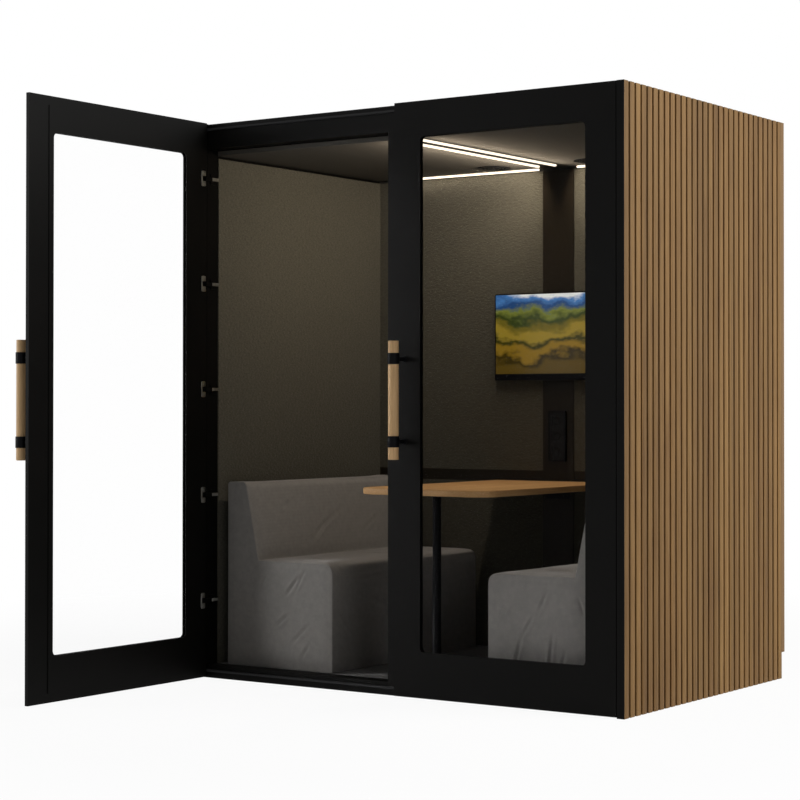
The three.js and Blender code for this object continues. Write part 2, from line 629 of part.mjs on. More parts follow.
// Screen: a case with a shallow pocket, the display in it, and the plate that holds the case on the column.
function screen() {
  const half = SCREEN_WIDTH / 2;
  const top = SCREEN_BOTTOM + SCREEN_HEIGHT;
  const rear = COLUMN_FRONT - PLATE_THICKNESS;
  const front = rear - SCREEN_THICKNESS;
  const outline = roundedRect(new THREE.Shape(), -half, SCREEN_BOTTOM, half, top, SCREEN_CORNER);
  const pocketXs = [SCREEN_BORDER - half, half - SCREEN_BORDER];
  const pocketZs = [SCREEN_BOTTOM + SCREEN_CHIN, top - SCREEN_BORDER];
  const pocket = board(pocketXs, [front - CUT_PAST, front + PANEL_THICKNESS + FIT_GAP], pocketZs);
  const body = solid(carryBack(outline, front, rear)).subtract(solid(pocket));
  piece('screen_case', shell(body), BLACK_METAL);
  const inset = (range) => [range[0] + FIT_GAP, range[1] - FIT_GAP];
  const panel = board(inset(pocketXs), [front, front + PANEL_THICKNESS], inset(pocketZs));
  piece('screen_panel', panel, SCREEN_GLASS);
  const middle = SCREEN_BOTTOM + SCREEN_HEIGHT / 2;
  const plateHalf = PLATE_SIZE / 2;
  const [low, high] = [middle - plateHalf, middle + plateHalf];
  const plate = roundedRect(new THREE.Shape(), -plateHalf, low, plateHalf, high, SCREEN_CORNER);
  piece('screen_plate', carryBack(plate, rear, COLUMN_FRONT), BLACK_METAL);
}

// Power module: a framed housing on the column, with a socket strip set into it.
function powerModule() {
  const half = POWER_WIDTH / 2;
  const top = POWER_BOTTOM + POWER_HEIGHT;
  const front = COLUMN_FRONT - POWER_DEPTH;
  const outline = roundedRect(new THREE.Shape(), -half, POWER_BOTTOM, half, top, POWER_CORNER);
  const pocketXs = [POWER_BORDER - half, half - POWER_BORDER];
  const pocketZs = [POWER_BOTTOM + POWER_BORDER, top - POWER_BORDER];
  const pocketFloor = front + INSERT_THICKNESS + FIT_GAP;
  const pocket = board(pocketXs, [front - CUT_PAST, pocketFloor], pocketZs);
  const housing = solid(carryBack(outline, front, COLUMN_FRONT)).subtract(solid(pocket));
  piece('power_housing', shell(housing), BLACK_METAL);
  const inset = (range) => [range[0] + FIT_GAP, range[1] - FIT_GAP];
  const insertFront = front + INSERT_SETBACK;
  let insert = solid(board(inset(pocketXs), [insertFront, pocketFloor - FIT_GAP], inset(pocketZs)));
  const pitch = (pocketZs[1] - pocketZs[0]) / SOCKET_COUNT;
  for (let i = 0; i < SOCKET_COUNT; i += 1) {
    const z = pocketZs[0] + (i + 0.5) * pitch;
    const reach = SOCKET_SIZE / 2;
    const hole = roundedRect(new THREE.Shape(), -reach, z - reach, reach, z + reach, SOCKET_CORNER);
    insert = insert.subtract(solid(carryBack(hole, insertFront - CUT_PAST, insertFront + SOCKET_DEPTH)));
  }
  piece('power_insert', shell(insert), SOCKET_PLASTIC);
}

// Table top with two round front corners, the leg turned in one piece with its foot and head, and the angle.
function table() {
  const half = TABLE_WIDTH / 2;
  const front = FRAME_REAR + TABLE_SETBACK;
  const rear = COLUMN_FRONT - FIT_GAP;
  const underside = TABLE_TOP - TABLE_THICKNESS;
  const outline = new THREE.Shape();
  outline.moveTo(-half + TABLE_CORNER, front);
  outline.lineTo(half - TABLE_CORNER, front);
  outline.absarc(half - TABLE_CORNER, front + TABLE_CORNER, TABLE_CORNER, -Math.PI / 2, 0);
  outline.lineTo(half, rear - TABLE_REAR_CORNER);
  outline.absarc(half - TABLE_REAR_CORNER, rear - TABLE_REAR_CORNER, TABLE_REAR_CORNER, 0, Math.PI / 2);
  outline.lineTo(TABLE_REAR_CORNER - half, rear);
  outline.absarc(TABLE_REAR_CORNER - half, rear - TABLE_REAR_CORNER, TABLE_REAR_CORNER, Math.PI / 2, Math.PI);
  outline.lineTo(-half, front + TABLE_CORNER);
  outline.absarc(-half + TABLE_CORNER, front + TABLE_CORNER, TABLE_CORNER, Math.PI, Math.PI * 1.5);
  piece('table_top', raise(outline, underside, TABLE_TOP, TABLE_CORNER_STEPS), OAK_SOLID);

  const legRadius = LEG_DIAMETER / 2;
  const profile = [
    [0, SILL_HEIGHT],
    [LEG_FOOT_DIAMETER / 2, SILL_HEIGHT],
    [LEG_FOOT_DIAMETER / 2, SILL_HEIGHT + LEG_FOOT_THICKNESS / 2],
    [legRadius, SILL_HEIGHT + LEG_FOOT_THICKNESS],
    [legRadius, underside - LEG_FOOT_THICKNESS],
    [LEG_HEAD_DIAMETER / 2, underside - LEG_FOOT_THICKNESS / 2],
    [LEG_HEAD_DIAMETER / 2, underside],
    [0, underside],
  ];
  piece('table_leg', turned(profile).translate(0, front + LEG_SETBACK, 0), BLACK_METAL);

  const angle = polygon([
    [COLUMN_FRONT, underside],
    [COLUMN_FRONT - ANGLE_SIZE, underside],
    [COLUMN_FRONT - ANGLE_SIZE, underside - ANGLE_THICKNESS],
    [COLUMN_FRONT - ANGLE_THICKNESS, underside - ANGLE_THICKNESS],
    [COLUMN_FRONT - ANGLE_THICKNESS, underside - ANGLE_SIZE],
    [COLUMN_FRONT, underside - ANGLE_SIZE],
  ]);
  piece('table_angle', carryAcross(angle, -ANGLE_WIDTH / 2, ANGLE_WIDTH / 2), BLACK_METAL);
}

// Places along one side of a padded block: close together round the corners, even between them.
function padStations(length, corner, steps) {
  const stations = [];
  for (let i = 0; i <= PAD_CORNER_STEPS; i += 1) stations.push((corner * i) / PAD_CORNER_STEPS);
  for (let i = 1; i < steps; i += 1) stations.push(corner + ((length - 2 * corner) * i) / steps);
  for (let i = PAD_CORNER_STEPS; i >= 0; i -= 1) stations.push(length - (corner * i) / PAD_CORNER_STEPS);
  return stations.map((s) => s - length / 2);
}

// Padded block: a box with round corners, a crowned top and upright faces drawn in between their corners.
// The two ends along y have tighter edges. The bottom stays flat. The shape stays inside the given size.
function paddedBlock(size, corner) {
  const counts = [PAD_STEPS_SHORT, PAD_STEPS_LONG, PAD_STEPS_SHORT];
  const corners = [corner, BENCH_END_CORNER, corner];
  const places = size.map((length, k) => padStations(length, corners[k], counts[k]));
  const [nx, ny, nz] = places.map((list) => list.length - 1);
  const block = new THREE.BoxGeometry(1, 1, 1, nx, ny, nz);
  const points = block.getAttribute('position');
  const half = size.map((length) => length / 2);
  const reach = new THREE.Vector3(...corners);
  const p = new THREE.Vector3();
  const core = new THREE.Vector3();
  for (let i = 0; i < points.count; i += 1) {
    p.fromBufferAttribute(points, i);
    p.set(
      places[0][Math.round((p.x + 0.5) * nx)],
      places[1][Math.round((p.y + 0.5) * ny)],
      places[2][Math.round((p.z + 0.5) * nz)],
    );
    const share = p.toArray().map((value, k) => 1 - (value / half[k]) ** 2);
    core.set(
      THREE.MathUtils.clamp(p.x, corner - half[0], half[0] - corner),
      THREE.MathUtils.clamp(p.y, BENCH_END_CORNER - half[1], half[1] - BENCH_END_CORNER),
      Math.min(p.z, half[2] - corner),
    );
    const away = p.clone().sub(core).divide(reach);
    if (away.lengthSq() > 0) p.copy(core).add(away.normalize().multiply(reach));
    const lift = Math.max(0, p.z / half[2]);
    p.z -= PAD_CROWN * (1 - share[0] * share[1]) * lift;
    p.x -= Math.sign(p.x) * PAD_DRAW * share[1] * share[2] * Math.abs(p.x / half[0]);
    p.y -= Math.sign(p.y) * PAD_DRAW * share[0] * share[2] * Math.abs(p.y / half[1]);
    points.setXYZ(i, p.x, p.y, p.z);
  }
  return block;
}

// Bench: the seat block on the carpet, and the back on the rear of the seat with its front face sloping.
function bench(label, side) {
  const outer = SIDE_FELT_INNER - BENCH_WALL_GAP;
  const [front, rear] = [FRAME_REAR + BENCH_FRONT_GAP, BACK_FELT_FRONT - BENCH_REAR_GAP];
  const [length, middle] = [rear - front, (rear + front) / 2];
  const seatHeight = SEAT_HEIGHT - SILL_HEIGHT;
  const seat = paddedBlock([BENCH_DEPTH, length, seatHeight], SEAT_CORNER);
  seat.translate(side * (outer - BENCH_DEPTH / 2), middle, SILL_HEIGHT + seatHeight / 2);
  const backFoot = SEAT_HEIGHT - SEAT_CORNER;
  const backHeight = BACK_TOP - backFoot;
  const backX = side * (outer - BACK_THICKNESS / 2);
  const back = paddedBlock([BACK_THICKNESS, length, backHeight], BACK_CORNER);
  const points = back.getAttribute('position');
  for (let i = 0; i < points.count; i += 1) {
    const rise = points.getZ(i) / backHeight + 0.5;
    const fromOuter = BACK_THICKNESS / 2 - side * points.getX(i);
    const taper = 1 - rise * (1 - BACK_TOP_THICKNESS / BACK_THICKNESS);
    points.setX(i, side * (BACK_THICKNESS / 2 - fromOuter * taper));
  }
  back.translate(backX, middle, backFoot + backHeight / 2);
  const notchXs = [side * (outer + CUT_PAST), side * (outer - BACK_THICKNESS - FIT_GAP)];
  const notchYs = [front - CUT_PAST, rear + CUT_PAST];
  const notch = board(notchXs, notchYs, [backFoot - FIT_GAP, SEAT_HEIGHT + CUT_PAST]);
  piece(`bench_seat_${label}`, shell(solid(seat).subtract(solid(notch))), UPHOLSTERY);
  piece(`bench_back_${label}`, back, UPHOLSTERY);
}

// Door leaf, drawn shut and then turned about its pivot.
function door(label, side, openAngle) {
  const leaf = new THREE.Group();
  leaf.position.set(side * PIVOT_X, PIVOT_Y, 0);
  leaf.rotation.z = side * openAngle;
  pod.add(leaf);
  const add = (name, geometry, look) => {
    const placed = geometry.translate(-side * PIVOT_X, -PIVOT_Y, 0);
    return piece(name, placed, look, leaf);
  };
  const [hingeEdge, freeEdge] = [side * DOOR_HINGE_EDGE, side * DOOR_FREE_EDGE];
  const glassHinge = hingeEdge - side * HINGE_STILE;
  const glassFree = freeEdge + side * FREE_STILE;
  const [glassBottom, glassTop] = [DOOR_BOTTOM + BOTTOM_RAIL, DOOR_TOP - TOP_RAIL];
  const opening = (path, grow) => roundedRect(
    path,
    glassHinge + side * grow,
    glassBottom - grow,
    glassFree - side * grow,
    glassTop + grow,
    GLASS_CORNER + grow,
  );
  const [leftEdge, rightEdge] = [Math.min(hingeEdge, freeEdge), Math.max(hingeEdge, freeEdge)];

  const lip = rectangle(leftEdge, DOOR_BOTTOM, rightEdge, DOOR_TOP);
  lip.holes.push(opening(new THREE.Path(), 0));
  const rebate = opening(new THREE.Shape(), GLASS_EDGE_COVER);
  let frame = solid(carryBack(lip, FRONT, DOOR_INNER));
  frame = frame.subtract(solid(carryBack(rebate, DOOR_INNER - GLASS_REBATE, DOOR_INNER + CUT_PAST)));
  const pivotX = side * PIVOT_X;
  const plateX = pivotX + side * CUP_PLATE_FROM_PIVOT;
  const plateEnd = plateX - side * CUP_PLATE_WIDTH;
  const plateTop = DOOR_INNER + CUP_PLATE_THICKNESS;
  const eyeReach = HINGE_PIN_RADIUS + FIT_GAP + EYE_WALL + KNUCKLE_GAP;
  const neckEnd = NECK_REACH + NECK_WIDTH / 2 + KNUCKLE_GAP * 2;
  const pocketXs = [pivotX + side * eyeReach, pivotX - side * neckEnd];
  for (const height of hingeHeights()) {
    const [low, high] = [height - CUP_PLATE_HEIGHT / 2, height + CUP_PLATE_HEIGHT / 2];
    const plate = roundedRect(new THREE.Shape(), plateX, low, plateEnd, high, CUP_PLATE_CORNER);
    const pocketHalf = ARM_HEIGHT / 2 + KNUCKLE_GAP;
    const pocketZs = [height - pocketHalf, height + pocketHalf];
    const pocket = board(pocketXs, [PIVOT_Y - eyeReach, plateTop + CUT_PAST], pocketZs);
    const pinZs = [pocketZs[0] - CUT_PAST, pocketZs[1] + CUT_PAST];
    const pin = rod(HINGE_PIN_RADIUS, pivotX, PIVOT_Y, ...pinZs, PIN_SIDES);
    frame = frame.add(solid(carryBack(plate, DOOR_INNER - CUT_PAST, plateTop, 1)));
    frame = frame.subtract(solid(pocket)).add(solid(pin));
  }
  add(`door_frame_${label}`, shell(frame), BLACK_LACQUER);

  const glassFront = DOOR_INNER - GLASS_THICKNESS - FIT_GAP;
  const pane = opening(new THREE.Shape(), GLASS_EDGE_COVER - FIT_GAP);
  add(`door_glass_${label}`, carryBack(pane, glassFront, glassFront + GLASS_THICKNESS), GLASS);

  const plateEnds = [hingeEdge - side * GLAZING_PLATE_HINGE_EDGE, freeEdge + side * GLAZING_PLATE_FREE_EDGE];
  const [low, high] = [DOOR_BOTTOM + GLAZING_PLATE_END, DOOR_TOP - GLAZING_PLATE_END];
  const glazing = rectangle(Math.min(...plateEnds), low, Math.max(...plateEnds), high);
  glazing.holes.push(opening(new THREE.Path(), 0));
  const glazingPlate = carryBack(glazing, DOOR_INNER, DOOR_INNER + GLAZING_PLATE_THICKNESS);
  add(`glazing_frame_${label}`, glazingPlate, BLACK_LACQUER);

  handle(label, freeEdge + side * HANDLE_FROM_EDGE, add);
  if (side > 0) {
    const xs = [-STRIP_OVERLAP, STRIP_LANDING];
    const ys = [DOOR_INNER + FIT_GAP, FRAME_FRONT - FIT_GAP];
    const endGap = FRAME_SEAL_WIDTH + STRIP_END_GAP;
    const zs = [SEAL_BOTTOM + endGap, SEAL_TOP - endGap];
    add('closing_strip', board(xs, ys, zs), BLACK_LACQUER);
  }
}

// Pull handle: an oak bar with rounded ends, held by two rings on pegs.
function handle(label, x, add) {
  const radius = HANDLE_DIAMETER / 2;
  const y = FRONT - HANDLE_STANDOFF;
  const bottom = HANDLE_CENTRE_HEIGHT - HANDLE_LENGTH / 2;
  const top = HANDLE_CENTRE_HEIGHT + HANDLE_LENGTH / 2;
  const profile = [
    [0, bottom],
    [radius - HANDLE_EASE, bottom],
    [radius, bottom + HANDLE_EASE],
    [radius, top - HANDLE_EASE],
    [radius - HANDLE_EASE, top],
    [0, top],
  ];
  add(`handle_bar_${label}`, turned(profile).translate(x, y, 0), OAK_SOLID);
  const seats = [['lower', -RING_SPACING / 2], ['upper', RING_SPACING / 2]];
  for (const [place, offset] of seats) {
    const z = HANDLE_CENTRE_HEIGHT + offset;
    const zs = [z - RING_HEIGHT / 2, z + RING_HEIGHT / 2];
    const peg = new THREE.CylinderGeometry(PEG_DIAMETER / 2, PEG_DIAMETER / 2, HANDLE_STANDOFF, PEG_SIDES);
    const flangeRadius = PEG_FLANGE_DIAMETER / 2;
    const flange = new THREE.CylinderGeometry(flangeRadius, flangeRadius, PEG_FLANGE_THICKNESS, PEG_SIDES);
    peg.translate(x, y + HANDLE_STANDOFF / 2, z);
    flange.translate(x, FRONT - PEG_FLANGE_THICKNESS / 2, z);
    const ring = rod(radius + FIT_GAP + RING_WALL, x, y, ...zs);
    let mount = solid(peg).add(solid(flange)).add(solid(ring));
    mount = mount.subtract(solid(rod(radius + FIT_GAP, x, y, zs[0] - CUT_PAST, zs[1] + CUT_PAST)));
    add(`handle_mount_${place}_${label}`, shell(mount), BLACK_METAL);
  }
}

podShell();
frameSeal();
lining();
lights();
screen();
powerModule();
table();
for (const [label, side] of SIDES) {
  sideWall(label, side);
  slatCladding(label, side);
  jamb(label, side);
  fan(label, side);
  bench(label, side);
}
door('left', -1, LEFT_DOOR_OPEN);
door('right', 1, RIGHT_DOOR_OPEN);

export default pod;
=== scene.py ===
"""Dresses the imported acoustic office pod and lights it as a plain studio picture.

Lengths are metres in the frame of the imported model: +Z up, the doors face -Y, the floor is z = 0.
"""

import json
import logging
import math
from dataclasses import dataclass, field
from enum import Enum

import bpy
import numpy as np
from bpy.types import Material, Node, NodeSocket, NodeTree, Object
from mathutils.geometry import delaunay_2d_cdt
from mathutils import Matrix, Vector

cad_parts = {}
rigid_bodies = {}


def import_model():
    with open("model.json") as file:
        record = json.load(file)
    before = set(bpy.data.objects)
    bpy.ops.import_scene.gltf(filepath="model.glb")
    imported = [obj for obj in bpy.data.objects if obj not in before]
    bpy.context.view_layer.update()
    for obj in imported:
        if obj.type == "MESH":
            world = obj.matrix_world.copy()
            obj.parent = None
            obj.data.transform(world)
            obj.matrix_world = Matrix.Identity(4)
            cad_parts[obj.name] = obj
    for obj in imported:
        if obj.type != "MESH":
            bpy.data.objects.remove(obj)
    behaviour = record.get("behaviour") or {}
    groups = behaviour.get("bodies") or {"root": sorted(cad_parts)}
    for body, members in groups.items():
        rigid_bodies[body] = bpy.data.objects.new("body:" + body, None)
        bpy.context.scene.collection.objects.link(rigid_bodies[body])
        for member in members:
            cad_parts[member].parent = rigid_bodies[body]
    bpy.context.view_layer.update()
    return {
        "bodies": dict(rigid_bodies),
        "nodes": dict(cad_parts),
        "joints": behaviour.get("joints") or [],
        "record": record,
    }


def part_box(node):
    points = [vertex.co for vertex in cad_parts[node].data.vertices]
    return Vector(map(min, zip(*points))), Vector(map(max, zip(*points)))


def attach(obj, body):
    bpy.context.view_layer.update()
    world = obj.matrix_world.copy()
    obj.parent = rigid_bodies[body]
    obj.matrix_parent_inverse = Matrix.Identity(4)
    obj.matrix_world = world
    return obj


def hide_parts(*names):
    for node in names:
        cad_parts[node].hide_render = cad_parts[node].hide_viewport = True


log = logging.getLogger("pod")

MM = 0.001
TINY = 1e-12
CLOSE = 1e-9
X, Y, Z = np.eye(3)
Colour = tuple[float, float, float, float]
Pair = tuple[float, float]
Triple = tuple[float, float, float]
Inputs = dict[str | int, object]
EVEN: Triple = (1.0, 1.0, 1.0)
SHARP_ANGLE = math.radians(35.0)
WHITE = "ffffff"
NOISE_ROUGHNESS = 0.6
BLEND_RANGE: Pair = (0.3, 0.7)


def linear(code: str) -> Colour:
    """Turns an sRGB hex colour into linear light.

    Args:
        code: Six hex digits.

    Returns:
        Red, green, blue and an alpha of one.
    """
    srgb = np.array([int(code[i : i + 2], 16) for i in (0, 2, 4)]) / 255.0
    low, high = srgb / 12.92, ((srgb + 0.055) / 1.055) ** 2.4
    return (*np.where(srgb <= 0.04045, low, high).tolist(), 1.0)


def feed(node: Node, inputs: Inputs) -> None:
    """Sets or links the sockets of a shader node.

    Args:
        node: The node.
        inputs: Socket name or number to a constant, to an output, or to a node whose first output feeds it.
    """
    for key, value in inputs.items():
        source = value.outputs[0] if isinstance(value, Node) else value
        if isinstance(source, NodeSocket):
            node.id_data.links.new(source, node.inputs[key])
        else:
            node.inputs[key].default_value = source


def add_node(tree: NodeTree, kind: str, inputs: Inputs | None = None, **settings: object) -> Node:
    """Adds one shader node with its settings, its constants and its links.

    Args:
        tree: The node tree that takes it.
        kind: Blender's name of the node type, without the ShaderNode in front.
        inputs: What goes to its sockets.
        **settings: Properties of the node.

    Returns:
        The new node.
    """
    made = tree.nodes.new("ShaderNode" + kind)
    for name, value in settings.items():
        setattr(made, name, value)
    feed(made, inputs or {})
    return made


def seen_directly(tree: NodeTree) -> Node:
    """Tells the rays that show a surface, also in a mirror or through glass, from those that light one.

    Args:
        tree: The node tree that asks.

    Returns:
        One for camera, mirror and glass rays that haven't bounced off a matt surface, otherwise zero.
    """
    path = add_node(tree, "LightPath").outputs
    seen = path["Is Camera Ray"]
    for ray in ("Is Glossy Ray", "Is Transmission Ray"):
        seen = add_node(tree, "Math", {0: seen, 1: path[ray]}, operation="MAXIMUM")
    fresh = add_node(tree, "Math", {0: path["Diffuse Depth"], 1: 0.5}, operation="LESS_THAN")
    return add_node(tree, "Math", {0: seen, 1: fresh}, operation="MULTIPLY")


class Side(Enum):
    """The two sides of the pod, seen from the front."""

    LEFT = -1
    RIGHT = 1

    @property
    def label(self) -> str:
        """Gives the ending of the node names on this side."""
        return self.name.lower()


class Grain(Enum):
    """The axis that wood grain follows, as a stretch of the pattern's coordinates."""

    ALONG_Y = (1.0, 0.03, 1.0)
    ALONG_Z = (1.0, 1.0, 0.03)


@dataclass(frozen=True)
class Finish:
    """A surface as its maker would name it, with the base values of its shader."""

    name: str
    colour: str
    roughness: float
    shine: float = 0.5

    def material(self) -> Material:
        """Makes the material once and gives the same one afterwards.

        Returns:
            The material named for this finish.
        """
        found = bpy.data.materials.get(self.name)
        if found:
            return found
        made = bpy.data.materials.new(self.name)
        made.use_nodes = True
        made.diffuse_color = linear(self.colour)
        shader = made.node_tree.nodes["Principled BSDF"]
        feed(shader, {"Base Color": linear(self.colour), "Roughness": self.roughness})
        feed(shader, {"Specular IOR Level": self.shine})
        self.shade(made.node_tree, shader)
        return made

    def shade(self, tree: NodeTree, shader: Node) -> None:
        """Adds the pattern of the finish to its shader.

        Args:
            tree: The node tree of the material.
            shader: Its shader.
        """

    def noise(self, tree: NodeTree, size_mm: float, detail: float, stretch: Triple = EVEN) -> Node:
        """Adds a noise whose blotches have a real size on the object.

        Args:
            tree: The node tree of the material.
            size_mm: Size of a blotch in millimetres.
            detail: Number of finer layers.
            stretch: Scale of the pattern along each axis.

        Returns:
            The noise node.
        """
        place = add_node(tree, "TexCoord").outputs["Object"]
        turned = add_node(tree, "Mapping", {"Vector": place, "Scale": stretch})
        scale = 1.0 / (size_mm * MM)
        inputs = {"Vector": turned, "Scale": scale, "Detail": detail, "Roughness": NOISE_ROUGHNESS}
        return add_node(tree, "TexNoise", inputs)

    def blend(self, tree: NodeTree, pattern: Node, low: str, high: str) -> NodeSocket:
        """Mixes two colours by the middle range of a pattern.

        Args:
            tree: The node tree of the material.
            pattern: The pattern, from 0 to 1.
            low: Colour where the pattern is low.
            high: Colour where the pattern is high.

        Returns:
            The colour output.
        """
        ends = {"From Min": BLEND_RANGE[0], "From Max": BLEND_RANGE[1]}
        spread = add_node(tree, "MapRange", {"Value": pattern, **ends}, clamp=True)
        inputs = {"Factor": spread, 6: linear(low), 7: linear(high)}
        return add_node(tree, "Mix", inputs, data_type="RGBA").outputs[2]

    def relief(self, tree: NodeTree, shader: Node, pattern: Node, depth_mm: float) -> None:
        """Feeds a pattern to the shader as a bump of a real depth.

        Args:
            tree: The node tree of the material.
            shader: The shader that takes the normal.
            pattern: The pattern, from 0 to 1.
            depth_mm: Height of the pattern in millimetres.
        """
        inputs = {"Height": pattern, "Distance": depth_mm * MM, "Strength": 1.0}
        feed(shader, {"Normal": add_node(tree, "Bump", inputs)})


@dataclass(frozen=True, kw_only=True)
class SatinLacquer(Finish):
    """Sprayed satin lacquer on board: a faint orange peel breaks up its soft highlight."""

    lift: str
    cloud_mm: float = 350.0
    peel_mm: float = 5.0
    depth_mm: float = 0.025

    def shade(self, tree: NodeTree, shader: Node) -> None:
        """Adds cloudy changes of tone and the orange peel, drawn coarser than the real one to show.

        Args:
            tree: The node tree of the material.
            shader: Its shader.
        """
        cloud = self.noise(tree, self.cloud_mm, detail=3.0)
        feed(shader, {"Base Color": self.blend(tree, cloud, self.colour, self.lift)})
        self.relief(tree, shader, self.noise(tree, self.peel_mm, detail=2.0), self.depth_mm)


@dataclass(frozen=True, kw_only=True)
class OiledOak(Finish):
    """Brushed and oiled oak: long dark pores in a paler ground, each board with a tone of its own."""

    dark: str
    pore_mm: float
    grain: Grain = Grain.ALONG_Z
    figure_pores: float = 12.0
    figure_share: float = 0.4
    pore_depth_mm: float = 0.25
    board_mm: float = 0.0
    board_tones: Pair = (0.86, 1.1)

    def shade(self, tree: NodeTree, shader: Node) -> None:
        """Adds the pores, the broad figure and, for boards side by side, a tone for each.

        Args:
            tree: The node tree of the material.
            shader: Its shader.
        """
        pores = self.noise(tree, self.pore_mm, detail=4.0, stretch=self.grain.value)
        figure = self.noise(tree, self.pore_mm * self.figure_pores, detail=2.0, stretch=self.grain.value)
        inputs = {"Factor": self.figure_share, 2: pores, 3: figure}
        both = add_node(tree, "Mix", inputs, data_type="FLOAT")
        colour = self.blend(tree, both, self.dark, self.colour)
        feed(shader, {"Base Color": self.toned(tree, colour) if self.board_mm else colour})
        self.relief(tree, shader, pores, self.pore_depth_mm)

    def toned(self, tree: NodeTree, colour: NodeSocket) -> Node:
        """Gives each board a tone drawn from its number, which is y over its width, rounded down.

        Args:
            tree: The node tree of the material.
            colour: The colour of the wood.

        Returns:
            The toned colour.
        """
        place = add_node(tree, "TexCoord").outputs["Object"]
        across = add_node(tree, "SeparateXYZ", {0: place}).outputs["Y"]
        count = add_node(tree, "Math", {0: across, 1: self.board_mm * MM}, operation="DIVIDE")
        whole = add_node(tree, "Math", {0: count}, operation="FLOOR")
        chance = add_node(tree, "TexWhiteNoise", {"W": whole}, noise_dimensions="1D")
        low, high = self.board_tones
        tone = add_node(tree, "MapRange", {"Value": chance, "To Min": low, "To Max": high})
        return add_node(tree, "HueSaturation", {"Color": colour, "Value": tone})


@dataclass(frozen=True, kw_only=True)
class PressedFelt(Finish):
    """Pressed acoustic felt: a lumpy fibre mat that shows best where light grazes it."""

    fleck: str
    lump_mm: float = 8.5
    lump_stretch: Triple = (0.6, 0.6, 1.0)
    fibre_share: float = 0.5
    fibre_stretch: Triple = (0.35, 0.35, 1.0)
    depth_mm: float = 4.0
    sheen: float = 0.15

    def shade(self, tree: NodeTree, shader: Node) -> None:
        """Adds short level fibres, lumps drawn a little coarse to show, and a soft sheen.

        Args:
            tree: The node tree of the material.
            shader: Its shader.
        """
        fibre = self.noise(tree, self.lump_mm * self.fibre_share, detail=3.0, stretch=self.fibre_stretch)
        lumps = self.noise(tree, self.lump_mm, detail=5.0, stretch=self.lump_stretch)
        colour = self.blend(tree, fibre, self.colour, self.fleck)
        feed(shader, {"Base Color": colour, "Sheen Weight": self.sheen})
        self.relief(tree, shader, lumps, self.depth_mm)


@dataclass(frozen=True, kw_only=True)
class WovenCloth(Finish):
    """Plain-woven wool mix on foam: crossing threads, a mottled tone and a soft sheen."""

    fleck: str
    thread_mm: float = 3.0
    thread_share: float = 0.2
    thread_depth_mm: float = 0.05
    mottle_mm: float = 22.0
    sheen: float = 0.2

    def shade(self, tree: NodeTree, shader: Node) -> None:
        """Adds a sine wave along each axis as threads, drawn coarser than the real weave to show.

        Args:
            tree: The node tree of the material.
            shader: Its shader.
        """
        place = add_node(tree, "TexCoord").outputs["Object"]
        axes = add_node(tree, "SeparateXYZ", {0: place}).outputs
        turn = 2.0 * math.pi / (self.thread_mm * MM)
        weave: Node | float = 0.0
        for axis in "XYZ":
            angle = add_node(tree, "Math", {0: axes[axis], 1: turn}, operation="MULTIPLY")
            wave = add_node(tree, "Math", {0: angle}, operation="SINE")
            weave = add_node(tree, "Math", {0: wave, 1: weave}, operation="ADD")
        level = add_node(tree, "MapRange", {"Value": weave, "From Min": -3.0, "From Max": 3.0})
        mottle = self.noise(tree, self.mottle_mm, detail=5.0)
        mixed = add_node(tree, "Mix", {"Factor": self.thread_share, 2: mottle, 3: level}, data_type="FLOAT")
        colour = self.blend(tree, mixed, self.colour, self.fleck)
        feed(shader, {"Base Color": colour, "Sheen Weight": self.sheen})
        self.relief(tree, shader, level, self.thread_depth_mm)


@dataclass(frozen=True, kw_only=True)
class CutPile(Finish):
    """Short cut-pile carpet: tufts in two close tones."""

    fleck: str
    tuft_mm: float = 6.0
    tuft_depth_mm: float = -1.5
    tone_mm: float = 30.0
    sheen: float = 0.2

    def shade(self, tree: NodeTree, shader: Node) -> None:
        """Adds tufts as small cells, drawn coarser than the real pile to show.

        Args:
            tree: The node tree of the material.
            shader: Its shader.
        """
        place = add_node(tree, "TexCoord").outputs["Object"]
        tufts = add_node(tree, "TexVoronoi", {"Vector": place, "Scale": 1.0 / (self.tuft_mm * MM)})
        colour = self.blend(tree, self.noise(tree, self.tone_mm, detail=6.0), self.colour, self.fleck)
        feed(shader, {"Base Color": colour, "Sheen Weight": self.sheen})
        self.relief(tree, shader, tufts, self.tuft_depth_mm)


@dataclass(frozen=True, kw_only=True)
class Grained(Finish):
    """Moulded, coated or laminated surface: an even fine grain that dulls its highlight."""

    grit_mm: float = 2.5
    depth_mm: float = 0.06
    lift: str = ""

    def shade(self, tree: NodeTree, shader: Node) -> None:
        """Adds the grain as a bump and as a change of tone, drawn coarser than the real one to show.

        Args:
            tree: The node tree of the material.
            shader: Its shader.
        """
        grit = self.noise(tree, self.grit_mm, detail=2.0)
        feed(shader, {"Base Color": self.blend(tree, grit, self.colour, self.lift or self.colour)})
        self.relief(tree, shader, grit, self.depth_mm)


@dataclass(frozen=True, kw_only=True)
class ClearGlass(Finish):
    """Laminated glass with an anti-reflective coating: clear, faintly reflecting, and light passes it."""

    index: float = 1.04

    def shade(self, tree: NodeTree, shader: Node) -> None:
        """Makes the pane see-through and lets shadow rays pass, so that the cabin isn't darkened.

        Args:
            tree: The node tree of the material.
            shader: Its shader.
        """
        feed(shader, {"Transmission Weight": 1.0, "IOR": self.index})
        shadow = add_node(tree, "LightPath").outputs["Is Shadow Ray"]
        clear = add_node(tree, "BsdfTransparent", {"Color": linear(self.colour)})
        mixed = add_node(tree, "MixShader", {0: shadow, 1: shader, 2: clear})
        feed(tree.nodes["Material Output"], {"Surface": mixed})


